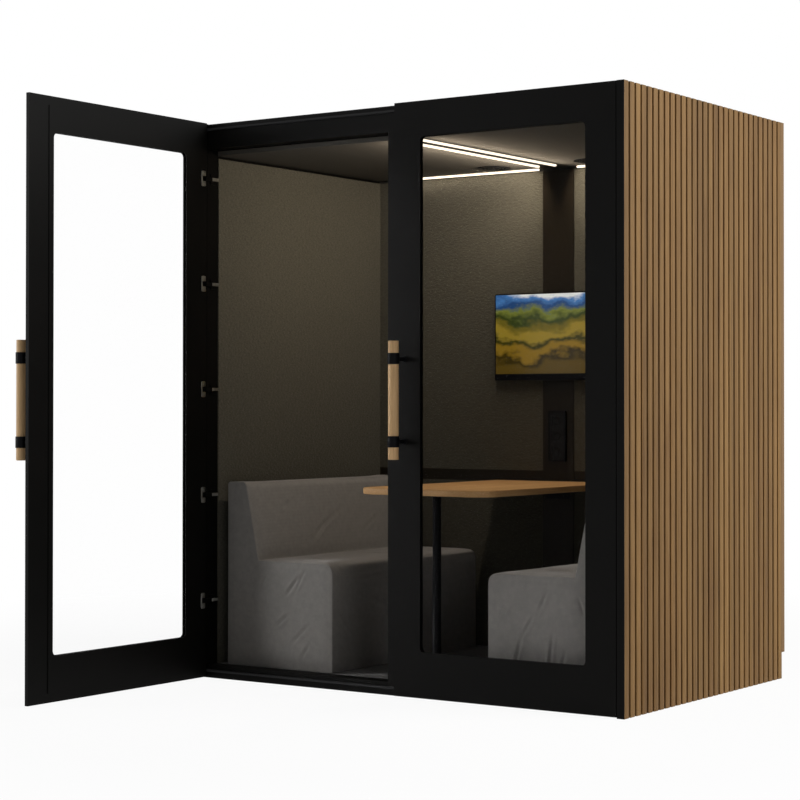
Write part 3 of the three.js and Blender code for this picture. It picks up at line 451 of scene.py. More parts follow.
@dataclass(frozen=True, kw_only=True)
class OpalDiffuser(Finish):
    """Opal acrylic over light diodes: an even warm glow along the strip."""

    strength: float = 1.4
    uneven: float = 0.06
    diode_mm: float = 40.0

    def shade(self, tree: NodeTree, shader: Node) -> None:
        """Makes the strip glow, a touch uneven where the diodes sit behind it.

        Args:
            tree: The node tree of the material.
            shader: Its shader.
        """
        dots = self.noise(tree, self.diode_mm, detail=0.0)
        low, high = self.strength * (1.0 - self.uneven), self.strength * (1.0 + self.uneven)
        level = add_node(tree, "MapRange", {"Value": dots, "To Min": low, "To Max": high})
        feed(shader, {"Emission Color": linear(self.colour), "Emission Strength": level})


@dataclass(frozen=True, kw_only=True)
class ScreenPicture(Finish):
    """A lit display with a plain picture: bands of blue, green and gold that run into each other."""

    strength: float = 0.135
    wave_mm: float = 190.0
    wave_stretch: Triple = (1.0, 1.0, 1.6)
    wave_height: float = 0.22
    soft_edge: float = 0.012
    bands: tuple[tuple[float, str], ...] = (
        (1.40, "342c0c"),
        (1.425, "8a7120"),
        (1.47, "3a3a12"),
        (1.50, "94832e"),
        (1.545, "6a621f"),
        (1.58, "33401a"),
        (1.61, "6f7a34"),
        (1.635, "24477c"),
        (1.665, "4377b8"),
        (1.69, "dde6ee"),
    )

    def shade(self, tree: NodeTree, shader: Node) -> None:
        """Bends a few broad colour bands with a noise; the higher bands are blue, the lower ones gold.

        Args:
            tree: The node tree of the material.
            shader: Its shader.
        """
        place = add_node(tree, "TexCoord").outputs["Object"]
        height = add_node(tree, "SeparateXYZ", {0: place}).outputs["Z"]
        wave = self.noise(tree, self.wave_mm, detail=4.0, stretch=self.wave_stretch)
        bent = add_node(tree, "Math", {0: wave, 1: self.wave_height, 2: height}, operation="MULTIPLY_ADD")
        colour = linear(self.colour)
        for level, code in self.bands:
            ends = {"From Min": level - self.soft_edge, "From Max": level + self.soft_edge}
            step = add_node(tree, "MapRange", {"Value": bent, **ends}, clamp=True)
            inputs = {"Factor": step, 6: colour, 7: linear(code)}
            colour = add_node(tree, "Mix", inputs, data_type="RGBA").outputs[2]
        feed(shader, {"Base Color": colour, "Emission Color": colour, "Emission Strength": self.strength})


@dataclass(frozen=True, kw_only=True)
class NickelPlate(Finish):
    """Nickel-plated pressed steel: bright, with faint rolling marks."""

    mark_mm: float = 2.0
    spread: Pair = (-0.08, 0.1)

    def shade(self, tree: NodeTree, shader: Node) -> None:
        """Adds rolling marks along z that spread the reflection.

        Args:
            tree: The node tree of the material.
            shader: Its shader.
        """
        marks = self.noise(tree, self.mark_mm, detail=2.0, stretch=Grain.ALONG_Z.value)
        low, high = (self.roughness + change for change in self.spread)
        level = add_node(tree, "MapRange", {"Value": marks, "To Min": low, "To Max": high})
        feed(shader, {"Metallic": 1.0, "Roughness": level})


@dataclass(frozen=True, kw_only=True)
class StudioWhite(Finish):
    """Matt white studio floor that stays white to the eye and keeps a soft shadow."""

    shadow_share: float = 0.06
    shadow_near: float = 2.2
    shadow_far: float = 4.2

    def shade(self, tree: NodeTree, shader: Node) -> None:
        """Shows mostly white to camera, mirror and glass rays, and keeps the shadow near the object.

        Args:
            tree: The node tree of the material.
            shader: Its shader.
        """
        place = add_node(tree, "TexCoord").outputs["Object"]
        away = add_node(tree, "VectorMath", {0: place}, operation="LENGTH").outputs["Value"]
        reach = {"From Min": self.shadow_near, "From Max": self.shadow_far}
        inputs = {"Value": away, "To Min": 1.0 - self.shadow_share, "To Max": 1.0, **reach}
        white = add_node(tree, "MapRange", inputs, clamp=True)
        share = add_node(tree, "Math", {0: seen_directly(tree), 1: white}, operation="MULTIPLY")
        glow = add_node(tree, "Emission", {"Color": linear(WHITE), "Strength": 1.0})
        mixed = add_node(tree, "MixShader", {0: share, 1: shader, 2: glow})
        feed(tree.nodes["Material Output"], {"Surface": mixed})


SLAT_PITCH_MM = 42.78
OAK_TABLE = OiledOak(
    "oiled_oak_table", "c49c6a", 0.5, 0.18, dark="a27a4e", grain=Grain.ALONG_Y, pore_mm=5.0
)
NICKEL = NickelPlate("nickel_plated_steel", "b8b6b0", 0.3)
STUDIO_FLOOR = StudioWhite("studio_white", "f2f2f2", 0.9)
FINISHES: dict[str, Finish] = {
    "black_lacquer": SatinLacquer("satin_black_lacquer", "090908", 0.45, 0.05, lift="0d0c0b"),
    "black_board": Grained("black_laminate", "1c1b1a", 0.6, 0.2, grit_mm=4.0, lift="262523"),
    "ceiling_board": Grained("grey_ceiling_laminate", "3d3a35", 0.6, 0.2, grit_mm=4.0, lift="46433d"),
    "brown_board": Grained("oak_coloured_laminate", "6c5439", 0.6, 0.15, grit_mm=4.0, lift="7b6143"),
    "oak_slats": OiledOak(
        "oiled_oak_slats", "86673c", 0.6, 0.2, dark="563b1b", pore_mm=8.0, board_mm=SLAT_PITCH_MM
    ),
    "oak_solid": OiledOak("oiled_oak_solid", "f4cc98", 0.5, 0.3, dark="c09868", pore_mm=3.0),
    "felt": PressedFelt("pressed_felt", "3a382f", 0.95, 0.1, fleck="4a473d"),
    "dark_trim": Grained("dark_brown_trim", "15110b", 0.55, 0.12, grit_mm=4.0, lift="1d1811"),
    "carpet": CutPile("cut_pile_carpet", "2c2a25", 0.95, 0.1, fleck="38352f"),
    "upholstery": WovenCloth("woven_grey_upholstery", "767370", 0.9, 0.12, fleck="827f7b"),
    "clear_glass": ClearGlass("clear_laminated_glass", "fefefe", 0.0),
    "rubber_seal": Grained("black_rubber", "101011", 0.75, 0.3, grit_mm=3.0),
    "black_metal": Grained(
        "black_powder_coat", "08080a", 0.42, 0.05, grit_mm=1.8, depth_mm=0.08, lift="0d0d0f"
    ),
    "lit_diffuser": OpalDiffuser("opal_diffuser", "fff0d8", 0.4),
    "fan_plastic": Grained("black_moulded_plastic", "0c0c0d", 0.5, 0.2),
    "display": ScreenPicture("lit_display", "5a4a16", 0.15, 0.2),
    "socket_plastic": Grained("dark_moulded_plastic", "0b0a09", 0.45, 0.12),
}


@dataclass
class Surface:
    """Points and quads of one closed skin, with round or polygon faces as extra loops."""

    points: np.ndarray
    quads: np.ndarray
    caps: list[np.ndarray]

    @staticmethod
    def from_rings(rings: np.ndarray, closed: bool = False) -> "Surface":
        """Skins a stack of rings: quad (i, j) joins points j and j + 1 of rings i and i + 1.

        Args:
            rings: Array of rings by points by three.
            closed: Whether the last ring joins the first, as on a ring; otherwise both ends get a cap.

        Returns:
            The skin.
        """
        count, around = rings.shape[:2]
        first = np.arange(count if closed else count - 1)[:, None]
        j = np.arange(around)[None, :]
        second, k = (first + 1) % count, (j + 1) % around
        corners = [first * around + j, first * around + k, second * around + k, second * around + j]
        quads = np.stack([np.broadcast_to(c, (len(first), around)) for c in corners], axis=-1)
        caps = [] if closed else [np.arange(around)[::-1], np.arange(around) + (count - 1) * around]
        return Surface(rings.reshape(-1, 3), quads.reshape(-1, 4), caps)

    @staticmethod
    def joined(parts: list["Surface"]) -> "Surface":
        """Puts several skins into one, side by side.

        Args:
            parts: The skins.

        Returns:
            One skin with all of their faces.
        """
        starts = np.cumsum([0] + [len(p.points) for p in parts[:-1]])
        points = np.concatenate([p.points for p in parts])
        quads = np.concatenate([p.quads + s for p, s in zip(parts, starts)])
        caps = [c + s for p, s in zip(parts, starts) for c in p.caps]
        return Surface(points, quads, caps)

    def to_object(self, name: str, smooth: bool = True) -> Object:
        """Makes a Blender object, its faces outwards, shaded smooth except across sharp edges.

        Args:
            name: Name of the object and its mesh.
            smooth: Whether the faces are shaded smooth.

        Returns:
            The object, linked to the scene.
        """
        mesh = bpy.data.meshes.new(name)
        mesh.from_pydata(self.points.tolist(), [], self.quads.tolist() + [c.tolist() for c in self.caps])
        mesh.update()
        made = bpy.data.objects.new(name, mesh)
        bpy.context.scene.collection.objects.link(made)
        bpy.context.view_layer.objects.active = made
        bpy.ops.object.mode_set(mode="EDIT")
        bpy.ops.mesh.select_all(action="SELECT")
        bpy.ops.mesh.normals_make_consistent(inside=False)
        bpy.ops.object.mode_set(mode="OBJECT")
        if smooth:
            mesh.polygons.foreach_set("use_smooth", np.ones(len(mesh.polygons), dtype=bool))
            mesh.set_sharp_from_angle(angle=SHARP_ANGLE)
        return made


def rounded_outline(corners: np.ndarray, radii: np.ndarray, steps: int) -> np.ndarray:
    """Rounds the corners of a polygon, each with a curve drawn towards its corner.

    Point s of a corner c, between tangent points a and b, is (1-s)^2 a + 2s(1-s) c + s^2 b.

    Args:
        corners: Array of corners by two.
        radii: Radius of each corner.
        steps: Points on each corner.

    Returns:
        The outline, as an array of points by two.
    """
    before, after = np.roll(corners, 1, axis=0) - corners, np.roll(corners, -1, axis=0) - corners
    before /= np.linalg.norm(before, axis=1, keepdims=True)
    after /= np.linalg.norm(after, axis=1, keepdims=True)
    half = 0.5 * np.arccos(np.clip((before * after).sum(axis=1), -1.0, 1.0))
    reach = (radii / np.tan(half))[:, None]
    a, b = corners + before * reach, corners + after * reach
    s = np.linspace(0.0, 1.0, steps)[None, :, None]
    curve = (1 - s) ** 2 * a[:, None] + 2 * s * (1 - s) * corners[:, None] + s**2 * b[:, None]
    return curve.reshape(-1, 2)


def rounded_rectangle(width: float, height: float, radius: float, steps: int) -> np.ndarray:
    """Gives a rectangle about zero with round corners.

    Args:
        width: Size across.
        height: Size up.
        radius: Radius of the corners.
        steps: Points on each corner.

    Returns:
        A counter-clockwise outline.
    """
    corners = np.array([[-1, -1], [1, -1], [1, 1], [-1, 1]]) * np.array([width, height]) / 2
    return rounded_outline(corners, np.full(4, radius), steps)


def quarter_round(radius: float, steps: int) -> np.ndarray:
    """Draws a quarter-round edge: at angle t it is radius (1 - sin t) in and radius (1 - cos t) along.

    Args:
        radius: Radius of the edge.
        steps: Points on it.

    Returns:
        Array of points by two: how far in from the side, and how far along from the end.
    """
    turn = np.linspace(0.0, math.pi / 2, steps)
    return radius * (1 - np.stack([np.sin(turn), np.cos(turn)], axis=-1))


def inset(outline: np.ndarray, amounts: np.ndarray) -> np.ndarray:
    """Moves an outline inwards, once for each amount, along the normals of its points.

    Args:
        outline: Points of a counter-clockwise outline.
        amounts: Distances to move it.

    Returns:
        Array of amounts by points by two.
    """
    along = np.roll(outline, -1, axis=0) - np.roll(outline, 1, axis=0)
    inward = np.stack([-along[:, 1], along[:, 0]], axis=1)
    inward /= np.linalg.norm(inward, axis=1, keepdims=True) + TINY
    return outline[None] + amounts[:, None, None] * inward[None]


def resampled(outline: np.ndarray, step: float) -> np.ndarray:
    """Adds even points on the long runs of an outline, so that none is longer than a step.

    Args:
        outline: Points of a closed outline.
        step: Longest run that is left.

    Returns:
        The outline with its old and its new points.
    """
    runs = np.roll(outline, -1, axis=0) - outline
    parts = np.maximum(1, np.ceil(np.linalg.norm(runs, axis=1) / step)).astype(int)
    return np.concatenate([p + np.arange(n)[:, None] / n * run for p, n, run in zip(outline, parts, runs)])


def to_outline(points: np.ndarray, outline: np.ndarray) -> np.ndarray:
    """Gives the distance of points from the nearest run of a closed outline, negative outside it.

    A point is inside where a line from it along the first axis crosses the outline an odd number of times.

    Args:
        points: Points of the plane.
        outline: Points of the outline.

    Returns:
        One distance for each point.
    """
    run = np.roll(outline, -1, axis=0) - outline
    away = points[:, None] - outline[None]
    share = np.clip((away * run).sum(axis=2) / np.maximum((run**2).sum(axis=1), TINY), 0.0, 1.0)
    near = np.linalg.norm(away - share[..., None] * run, axis=2).min(axis=1)
    level = np.where(np.abs(run[:, 1]) < TINY, TINY, run[:, 1])
    crossed = (away[..., 1] < 0) != (away[..., 1] < run[:, 1])
    inside = (crossed & (away[..., 0] < away[..., 1] / level * run[:, 0])).sum(axis=1) % 2 == 1
    return np.where(inside, near, -near)


def filled(outline: np.ndarray, step: float, margin: float = 0.6) -> tuple[np.ndarray, np.ndarray]:
    """Fills an outline with small triangles on a grid of points.

    Args:
        outline: Points of the outline.
        step: Spacing of the grid.
        margin: How many steps the grid stays inside the outline.

    Returns:
        The points inside, and triangles that number the outline first and these points after it.
    """
    low, high = outline.min(axis=0), outline.max(axis=0)
    columns, rows = np.arange(low[0], high[0], step), np.arange(low[1], high[1], step)
    spots = np.stack(np.meshgrid(columns, rows), axis=-1).reshape(-1, 2)
    spots = spots[to_outline(spots, outline) > step * margin]
    points = np.concatenate([outline, spots]).tolist()
    inside_only = 1
    result = delaunay_2d_cdt(points, [], [list(range(len(outline)))], inside_only, CLOSE)
    origin = np.array([first[0] for first in result[3]])
    return spots, origin[np.array(result[2])]


def eased_stack(outline: np.ndarray, low: float, high: float, ease: float, steps: int = 5) -> np.ndarray:
    """Stacks an outline from low to high with quarter-round edges.

    Args:
        outline: Counter-clockwise outline.
        low: First level.
        high: Last level.
        ease: Radius of the edges.
        steps: Rings on each edge.

    Returns:
        Array of rings by points by three, with the level last.
    """
    moves, levels = quarter_round(ease, steps).T
    flat = inset(outline, np.concatenate([moves, moves[::-1]]))
    heights = np.concatenate([low + levels, (high - levels)[::-1]])
    level = np.broadcast_to(heights[:, None, None], (*flat.shape[:2], 1))
    return np.concatenate([flat, level], axis=2)


def extruded(outline: np.ndarray, low: float, high: float) -> Surface:
    """Carries an outline straight up: each of its points (x, y) becomes (x, y, low) and (x, y, high).

    Args:
        outline: Points of the outline.
        low: First level.
        high: Last level.

    Returns:
        The skin.
    """
    rings = [np.column_stack([outline, np.full(len(outline), level)]) for level in (low, high)]
    return Surface.from_rings(np.stack(rings))


def revolved(profile: np.ndarray, sides: int, closed: bool = False) -> Surface:
    """Turns a profile about the z axis: point (r, h) at angle t is (r cos t, r sin t, h).

    Args:
        profile: Array of points by radius and height.
        sides: Points round the axis.
        closed: Whether the profile closes on itself, as a ring's section does.

    Returns:
        The turned skin.
    """
    angle = np.arange(sides) * 2 * math.pi / sides
    radius, height = profile[:, 0, None], profile[:, 1, None]
    level = np.broadcast_to(height, (len(profile), sides))
    rings = np.stack([radius * np.cos(angle), radius * np.sin(angle), level], axis=-1)
    return Surface.from_rings(rings, closed)


def placed(surface: Surface, origin: np.ndarray | list, axes: list[np.ndarray] | None = None) -> Surface:
    """Turns a skin to new axes and moves it.

    Args:
        surface: The skin.
        origin: Where its zero point goes.
        axes: What its x, y and z axes become.

    Returns:
        The moved skin.
    """
    points = surface.points if axes is None else surface.points @ np.array(axes)
    return Surface(points + np.asarray(origin), surface.quads, surface.caps)


def node_box(node: str) -> tuple[np.ndarray, np.ndarray]:
    """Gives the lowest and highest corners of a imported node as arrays."""
    low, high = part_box(node)
    return np.array(low), np.array(high)


def settle(
    piece: Object, body: str, slot: str, replaced: tuple[str, ...] = (), finish: Finish | None = None
) -> None:
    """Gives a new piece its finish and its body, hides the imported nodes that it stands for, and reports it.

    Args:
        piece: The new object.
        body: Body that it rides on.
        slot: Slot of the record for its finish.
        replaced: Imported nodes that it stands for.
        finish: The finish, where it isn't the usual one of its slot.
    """
    piece.data.materials.clear()
    piece.data.materials.append((finish or FINISHES[slot]).material())
    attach(piece, body)
    if replaced:
        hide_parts(*replaced)
    log.info("%s rides on %s", piece.name, body)


@dataclass
class Handle:
    """Pull handle of one leaf: an oak bar in two black rings, each on a flanged peg."""

    side: Side
    end_round: float = 2.5 * MM
    clearance: float = 0.3 * MM
    ring_wall: float = 2.5 * MM
    ring_round: float = 1.0 * MM
    peg_radius: float = 8 * MM
    peg_fillet: float = 2 * MM
    flange_radius: float = 13 * MM
    flange_thickness: float = 4 * MM
    flange_edge: float = 1 * MM
    sides: int = 48
    peg_sides: int = 32
    end_steps: int = 5
    ring_steps: int = 4

    def build(self) -> None:
        """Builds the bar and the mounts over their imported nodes."""
        label = self.side.label
        low, high = node_box(f"handle_bar_{label}")
        self.bar(label, low, high)
        for place in ("lower", "upper"):
            self.mount(label, place, (low + high) / 2, (high[0] - low[0]) / 2)

    def bar(self, label: str, low: np.ndarray, high: np.ndarray) -> None:
        """Turns the bar with quarter-round ends.

        Args:
            label: Ending of the node names.
            low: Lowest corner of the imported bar.
            high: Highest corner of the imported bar.
        """
        edge = quarter_round(self.end_round, self.end_steps) * [-1, 1] + [(high[0] - low[0]) / 2, 0.0]
        top = edge[::-1] * [1, -1] + [0, high[2] - low[2]]
        skin = revolved(np.concatenate([edge, top]), self.sides)
        centre = [*(low + high)[:2] / 2, low[2]]
        piece = placed(skin, centre).to_object(f"oak_pull_{label}")
        settle(piece, f"door_{label}", "oak_solid", (f"handle_bar_{label}",))

    def mount(self, label: str, place: str, centre: np.ndarray, radius: float) -> None:
        """Builds a ring round the bar and its peg, which runs from the ring to the leaf.

        Args:
            label: Ending of the node names.
            place: Lower or upper.
            centre: Centre of the bar.
            radius: Radius of the bar.
        """
        low, high = node_box(f"handle_mount_{place}_{label}")
        middle = radius + self.clearance + self.ring_wall / 2
        section = rounded_rectangle(self.ring_wall, high[2] - low[2], self.ring_round, self.ring_steps)
        ring = revolved(section + [middle, 0.0], self.sides, closed=True)
        spot = [*centre[:2], (low[2] + high[2]) / 2]
        along = Y if self.side is Side.RIGHT else X
        stop = float((high - centre) @ along)
        face, edge, fillet = stop - self.flange_thickness, self.flange_edge, self.peg_fillet
        profile = [
            [self.peg_radius, middle],
            [self.peg_radius, face - fillet],
            [self.peg_radius + 0.3 * fillet, face - 0.3 * fillet],
            [self.peg_radius + fillet, face],
            [self.flange_radius - edge, face],
            [self.flange_radius, face + edge],
            [self.flange_radius, stop],
        ]
        peg = revolved(np.array(profile), self.peg_sides)
        skins = [placed(ring, spot), placed(peg, spot, [Z, np.cross(along, Z), along])]
        piece = Surface.joined(skins).to_object(f"pull_ring_{place}_{label}")
        settle(piece, f"door_{label}", "black_metal", (f"handle_mount_{place}_{label}",))


@dataclass
class Pane:
    """Laminated pane of one leaf: a slab with round corners and polished edges."""

    side: Side
    corner: float = 29 * MM
    polish: float = 0.8 * MM
    corner_steps: int = 8
    polish_steps: int = 3

    def build(self) -> None:
        """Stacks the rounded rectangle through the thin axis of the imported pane."""
        label = self.side.label
        low, high = node_box(f"door_glass_{label}")
        size, centre = high - low, (low + high) / 2
        across, through = (0, 1) if self.side is Side.RIGHT else (1, 0)
        outline = rounded_rectangle(size[across], size[2], self.corner, self.corner_steps)
        half = size[through] / 2
        skin = Surface.from_rings(eased_stack(outline, -half, half, self.polish, self.polish_steps))
        axes = [(X, Y)[across], Z, (X, Y)[through]]
        piece = placed(skin, centre, axes).to_object(f"glass_pane_{label}", smooth=False)
        settle(piece, f"door_{label}", "clear_glass", (f"door_glass_{label}",))


@dataclass
class HingeCovers:
    """Bright pressed steel on the hinges of one leaf: a cover on each arm, a screwed plate on each cup."""

    side: Side
    count: int = 5
    lowest: float = 312 * MM
    highest: float = 2014 * MM
    skin: float = 0.8 * MM
    arm_height: float = 12.4 * MM
    arm_plan_mm: tuple[Pair, ...] = ((949, -620), (941.5, -606.5), (941.5, -570.75), (949, -564))
    arm_screws_mm: Pair = (-600.0, -577.0)
    right_cup: Pair = (945.5 * MM, -632 * MM)
    left_cup: Pair = (-947 * MM, -654.5 * MM)
    plate: Pair = (25 * MM, 63 * MM)
    plate_corner: float = 6 * MM
    plate_steps: int = 6
    skin_steps: int = 3
    mouth_corner_share: float = 0.25
    mouth: Pair = (18.5 * MM, 21 * MM)
    screw_rise: float = 21 * MM
    screw_radius: float = 3.6 * MM
    screw_sides: int = 20
    screw_profile: tuple[Pair, ...] = ((1.0, 0.4), (1.0, 1.1), (0.8, 1.5), (0.35, 1.6), (0.3, 1.1))

    def build(self) -> None:
        """Builds the arm covers, which ride on the pod, and the cup plates, which ride on the leaf."""
        heights = np.linspace(self.lowest, self.highest, self.count)
        label = self.side.label
        arms = Surface.joined([self.arm(z) for z in heights]).to_object(f"hinge_arm_covers_{label}")
        settle(arms, "pod", "black_metal", finish=NICKEL)
        spot, axes = (self.right_cup, [X, Z, Y]) if self.side is Side.RIGHT else (self.left_cup, [Y, Z, X])
        cup = self.cup()
        cups = Surface.joined([placed(cup, [*spot, z], axes) for z in heights])
        settle(cups.to_object(f"hinge_cup_plates_{label}"), f"door_{label}", "black_metal", finish=NICKEL)

    def cup(self) -> Surface:
        """Draws the plate round three sides of a cup, open towards the hinge's edge, and adds its two screws.

        Returns:
            The plate, flat on zero, with its open side along its first axis.
        """
        (width, height), (mouth, gap) = self.plate, self.mouth
        right, top, floor, lip = width / 2, height / 2, width / 2 - mouth, gap / 2
        lower = [[-right, -top], [right, -top], [right, -lip], [floor, -lip]]
        corners = np.array(lower + [[x, -z] for x, z in reversed(lower)])
        shares = [1.0, 1.0, *[self.mouth_corner_share] * 4, 1.0, 1.0]
        outline = rounded_outline(corners, self.plate_corner * np.array(shares), self.plate_steps)
        rings = eased_stack(outline, 0.0, self.skin, self.skin / 2, self.skin_steps)
        sheet = Surface.from_rings(rings)
        screws = [placed(self.screw(), [0.0, rise, 0.0]) for rise in (-self.screw_rise, self.screw_rise)]
        return Surface.joined([sheet, *screws])

    def screw(self) -> Surface:
        """Turns a low domed screw head; its profile is in shares of its radius and millimetres of height."""
        return revolved(np.array(self.screw_profile) * [self.screw_radius, MM], self.screw_sides)

    def arm(self, height: float) -> Surface:
        """Carries a band round the plan of an arm, a skin's thickness proud of it, and adds its two screws.

        Args:
            height: Level of the hinge.

        Returns:
            The cover and its screws.
        """
        side, plan = self.side.value, np.array(self.arm_plan_mm) * MM
        band = np.concatenate([plan, plan[::-1] - [self.skin, 0.0]]) * [side, 1.0]
        sleeve = extruded(band, height - self.arm_height / 2, height + self.arm_height / 2)
        face, axes = side * plan[1, 0], [Y, Z, -side * X]
        screws = [placed(self.screw(), [face, y * MM, height], axes) for y in self.arm_screws_mm]
        return Surface.joined([sleeve, *screws])


@dataclass
class Table:
    """Oak table top with eased edges on one turned leg."""

    corner: float = 110 * MM
    rear_corner: float = 8 * MM
    ease: float = 3 * MM
    corner_steps: int = 24
    leg_sides: int = 48
    leg_radius: float = 17 * MM
    leg_fillet: float = 4 * MM
    foot_radius: float = 48 * MM
    foot_edge: float = 1 * MM
    head_radius: float = 60 * MM
    flange: float = 6 * MM

    def build(self) -> None:
        """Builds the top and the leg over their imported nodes."""
        low, high = node_box("table_top")
        corners = np.array([[low[0], low[1]], [high[0], low[1]], [high[0], high[1]], [low[0], high[1]]])
        radii = np.array([self.corner, self.corner, self.rear_corner, self.rear_corner])
        outline = rounded_outline(corners, radii, self.corner_steps)
        top = Surface.from_rings(eased_stack(outline, low[2], high[2], self.ease)).to_object("oak_table_top")
        settle(top, "pod", "oak_solid", ("table_top",), OAK_TABLE)
        low, high = node_box("table_leg")
        height = high[2] - low[2]
        sole = [[self.foot_radius - self.foot_edge, 0.0], [self.foot_radius, self.foot_edge]]
        head = self.collar(self.head_radius)[::-1] * [1, -1] + [0, height]
        profile = np.concatenate([sole, self.collar(self.foot_radius), head, [[self.head_radius, height]]])
        leg = placed(revolved(profile, self.leg_sides), [*(low + high)[:2] / 2, low[2]])
        settle(leg.to_object("turned_table_leg"), "pod", "black_metal", ("table_leg",))

    def collar(self, radius: float) -> np.ndarray:
        """Draws the flange at an end of the leg and its fillet.

        Args:
            radius: Radius of the flange.

        Returns:
            Points by radius and distance from the leg's end.
        """
        r, fillet, thick = self.leg_radius, self.leg_fillet, self.flange
        return np.array(
            [
                [radius, thick / 2],
                [radius - thick / 3, thick * 0.8],
                [r + fillet, thick],
                [r + fillet / 4, thick + fillet / 4],
                [r, thick + fillet],
            ]
        )


@dataclass
class Cladding:
    """Oak slats of one side wall, with eased edges, made as one comb carried up the wall."""

    side: Side
    groove: float = 11.5 * MM
    groove_depth: float = 7 * MM
    edge_round: float = 1.6 * MM
    edge_steps: int = 4
    pitch: float = SLAT_PITCH_MM * MM

    def build(self) -> None:
        """Carries the comb from the floor to the top; each slat is a flat with two rounded edges."""
        node, side = f"slat_cladding_{self.side.label}", self.side.value
        low, high = node_box(node)
        length = high[1] - low[1] + self.groove
        count = round(length / self.pitch)
        face, back = (high[0], low[0]) if self.side is Side.RIGHT else (low[0], high[0])
        start = low[1] + np.arange(count) * (length / count)
        stop = start + length / count - self.groove
        drop, run = quarter_round(self.edge_round, self.edge_steps).T * [[side], [1]]
        near = np.stack(np.broadcast_arrays(face - drop, start[:, None] + run), axis=-1)
        far = np.stack(np.broadcast_arrays(face - drop[::-1], stop[:, None] - run[::-1]), axis=-1)
        floor = np.full(count, face - side * self.groove_depth)
        feet = [np.stack([floor, edge], axis=-1)[:, None] for edge in (start, stop)]
        comb = np.concatenate([feet[0], near, far, feet[1]], axis=1).reshape(-1, 2)
        comb = np.concatenate([comb, [[back, high[1]], [back, low[1]]]])[::side]
        piece = extruded(comb, low[2], high[2]).to_object(f"oak_slats_{self.side.label}")
        settle(piece, "pod", "oak_slats", (node,))


@dataclass(frozen=True)
class Crease:
    """A pulled crease in the cover, in millimetres: a line between two points (from the wall, along, up)."""

    start: Triple
    stop: Triple
    depth: float = 5.2
    width: float = 7.0
    ridge: float = 0.55
    ridge_away: float = 1.9

    def height(self, points: np.ndarray) -> np.ndarray:
        """Gives the cover's height at each point.

        With t along the line and d from it in widths, it is
        depth sin(pi t)^2 (ridge e^-(d - away)^2 - e^-d^2).

        Args:
            points: Points of the cover.

        Returns:
            Heights, negative in the crease and positive on the ridges beside it.
        """
        start, line = np.array(self.start) * MM, (np.array(self.stop) - np.array(self.start)) * MM
        t = np.clip((points - start) @ line / (line @ line), 0.0, 1.0)
        d = np.linalg.norm(points - start - t[:, None] * line, axis=1) / (self.width * MM)
        fold = self.ridge * np.exp(-((d - self.ridge_away) ** 2)) - np.exp(-(d**2))
        return self.depth * MM * np.sin(math.pi * t) ** 2 * fold


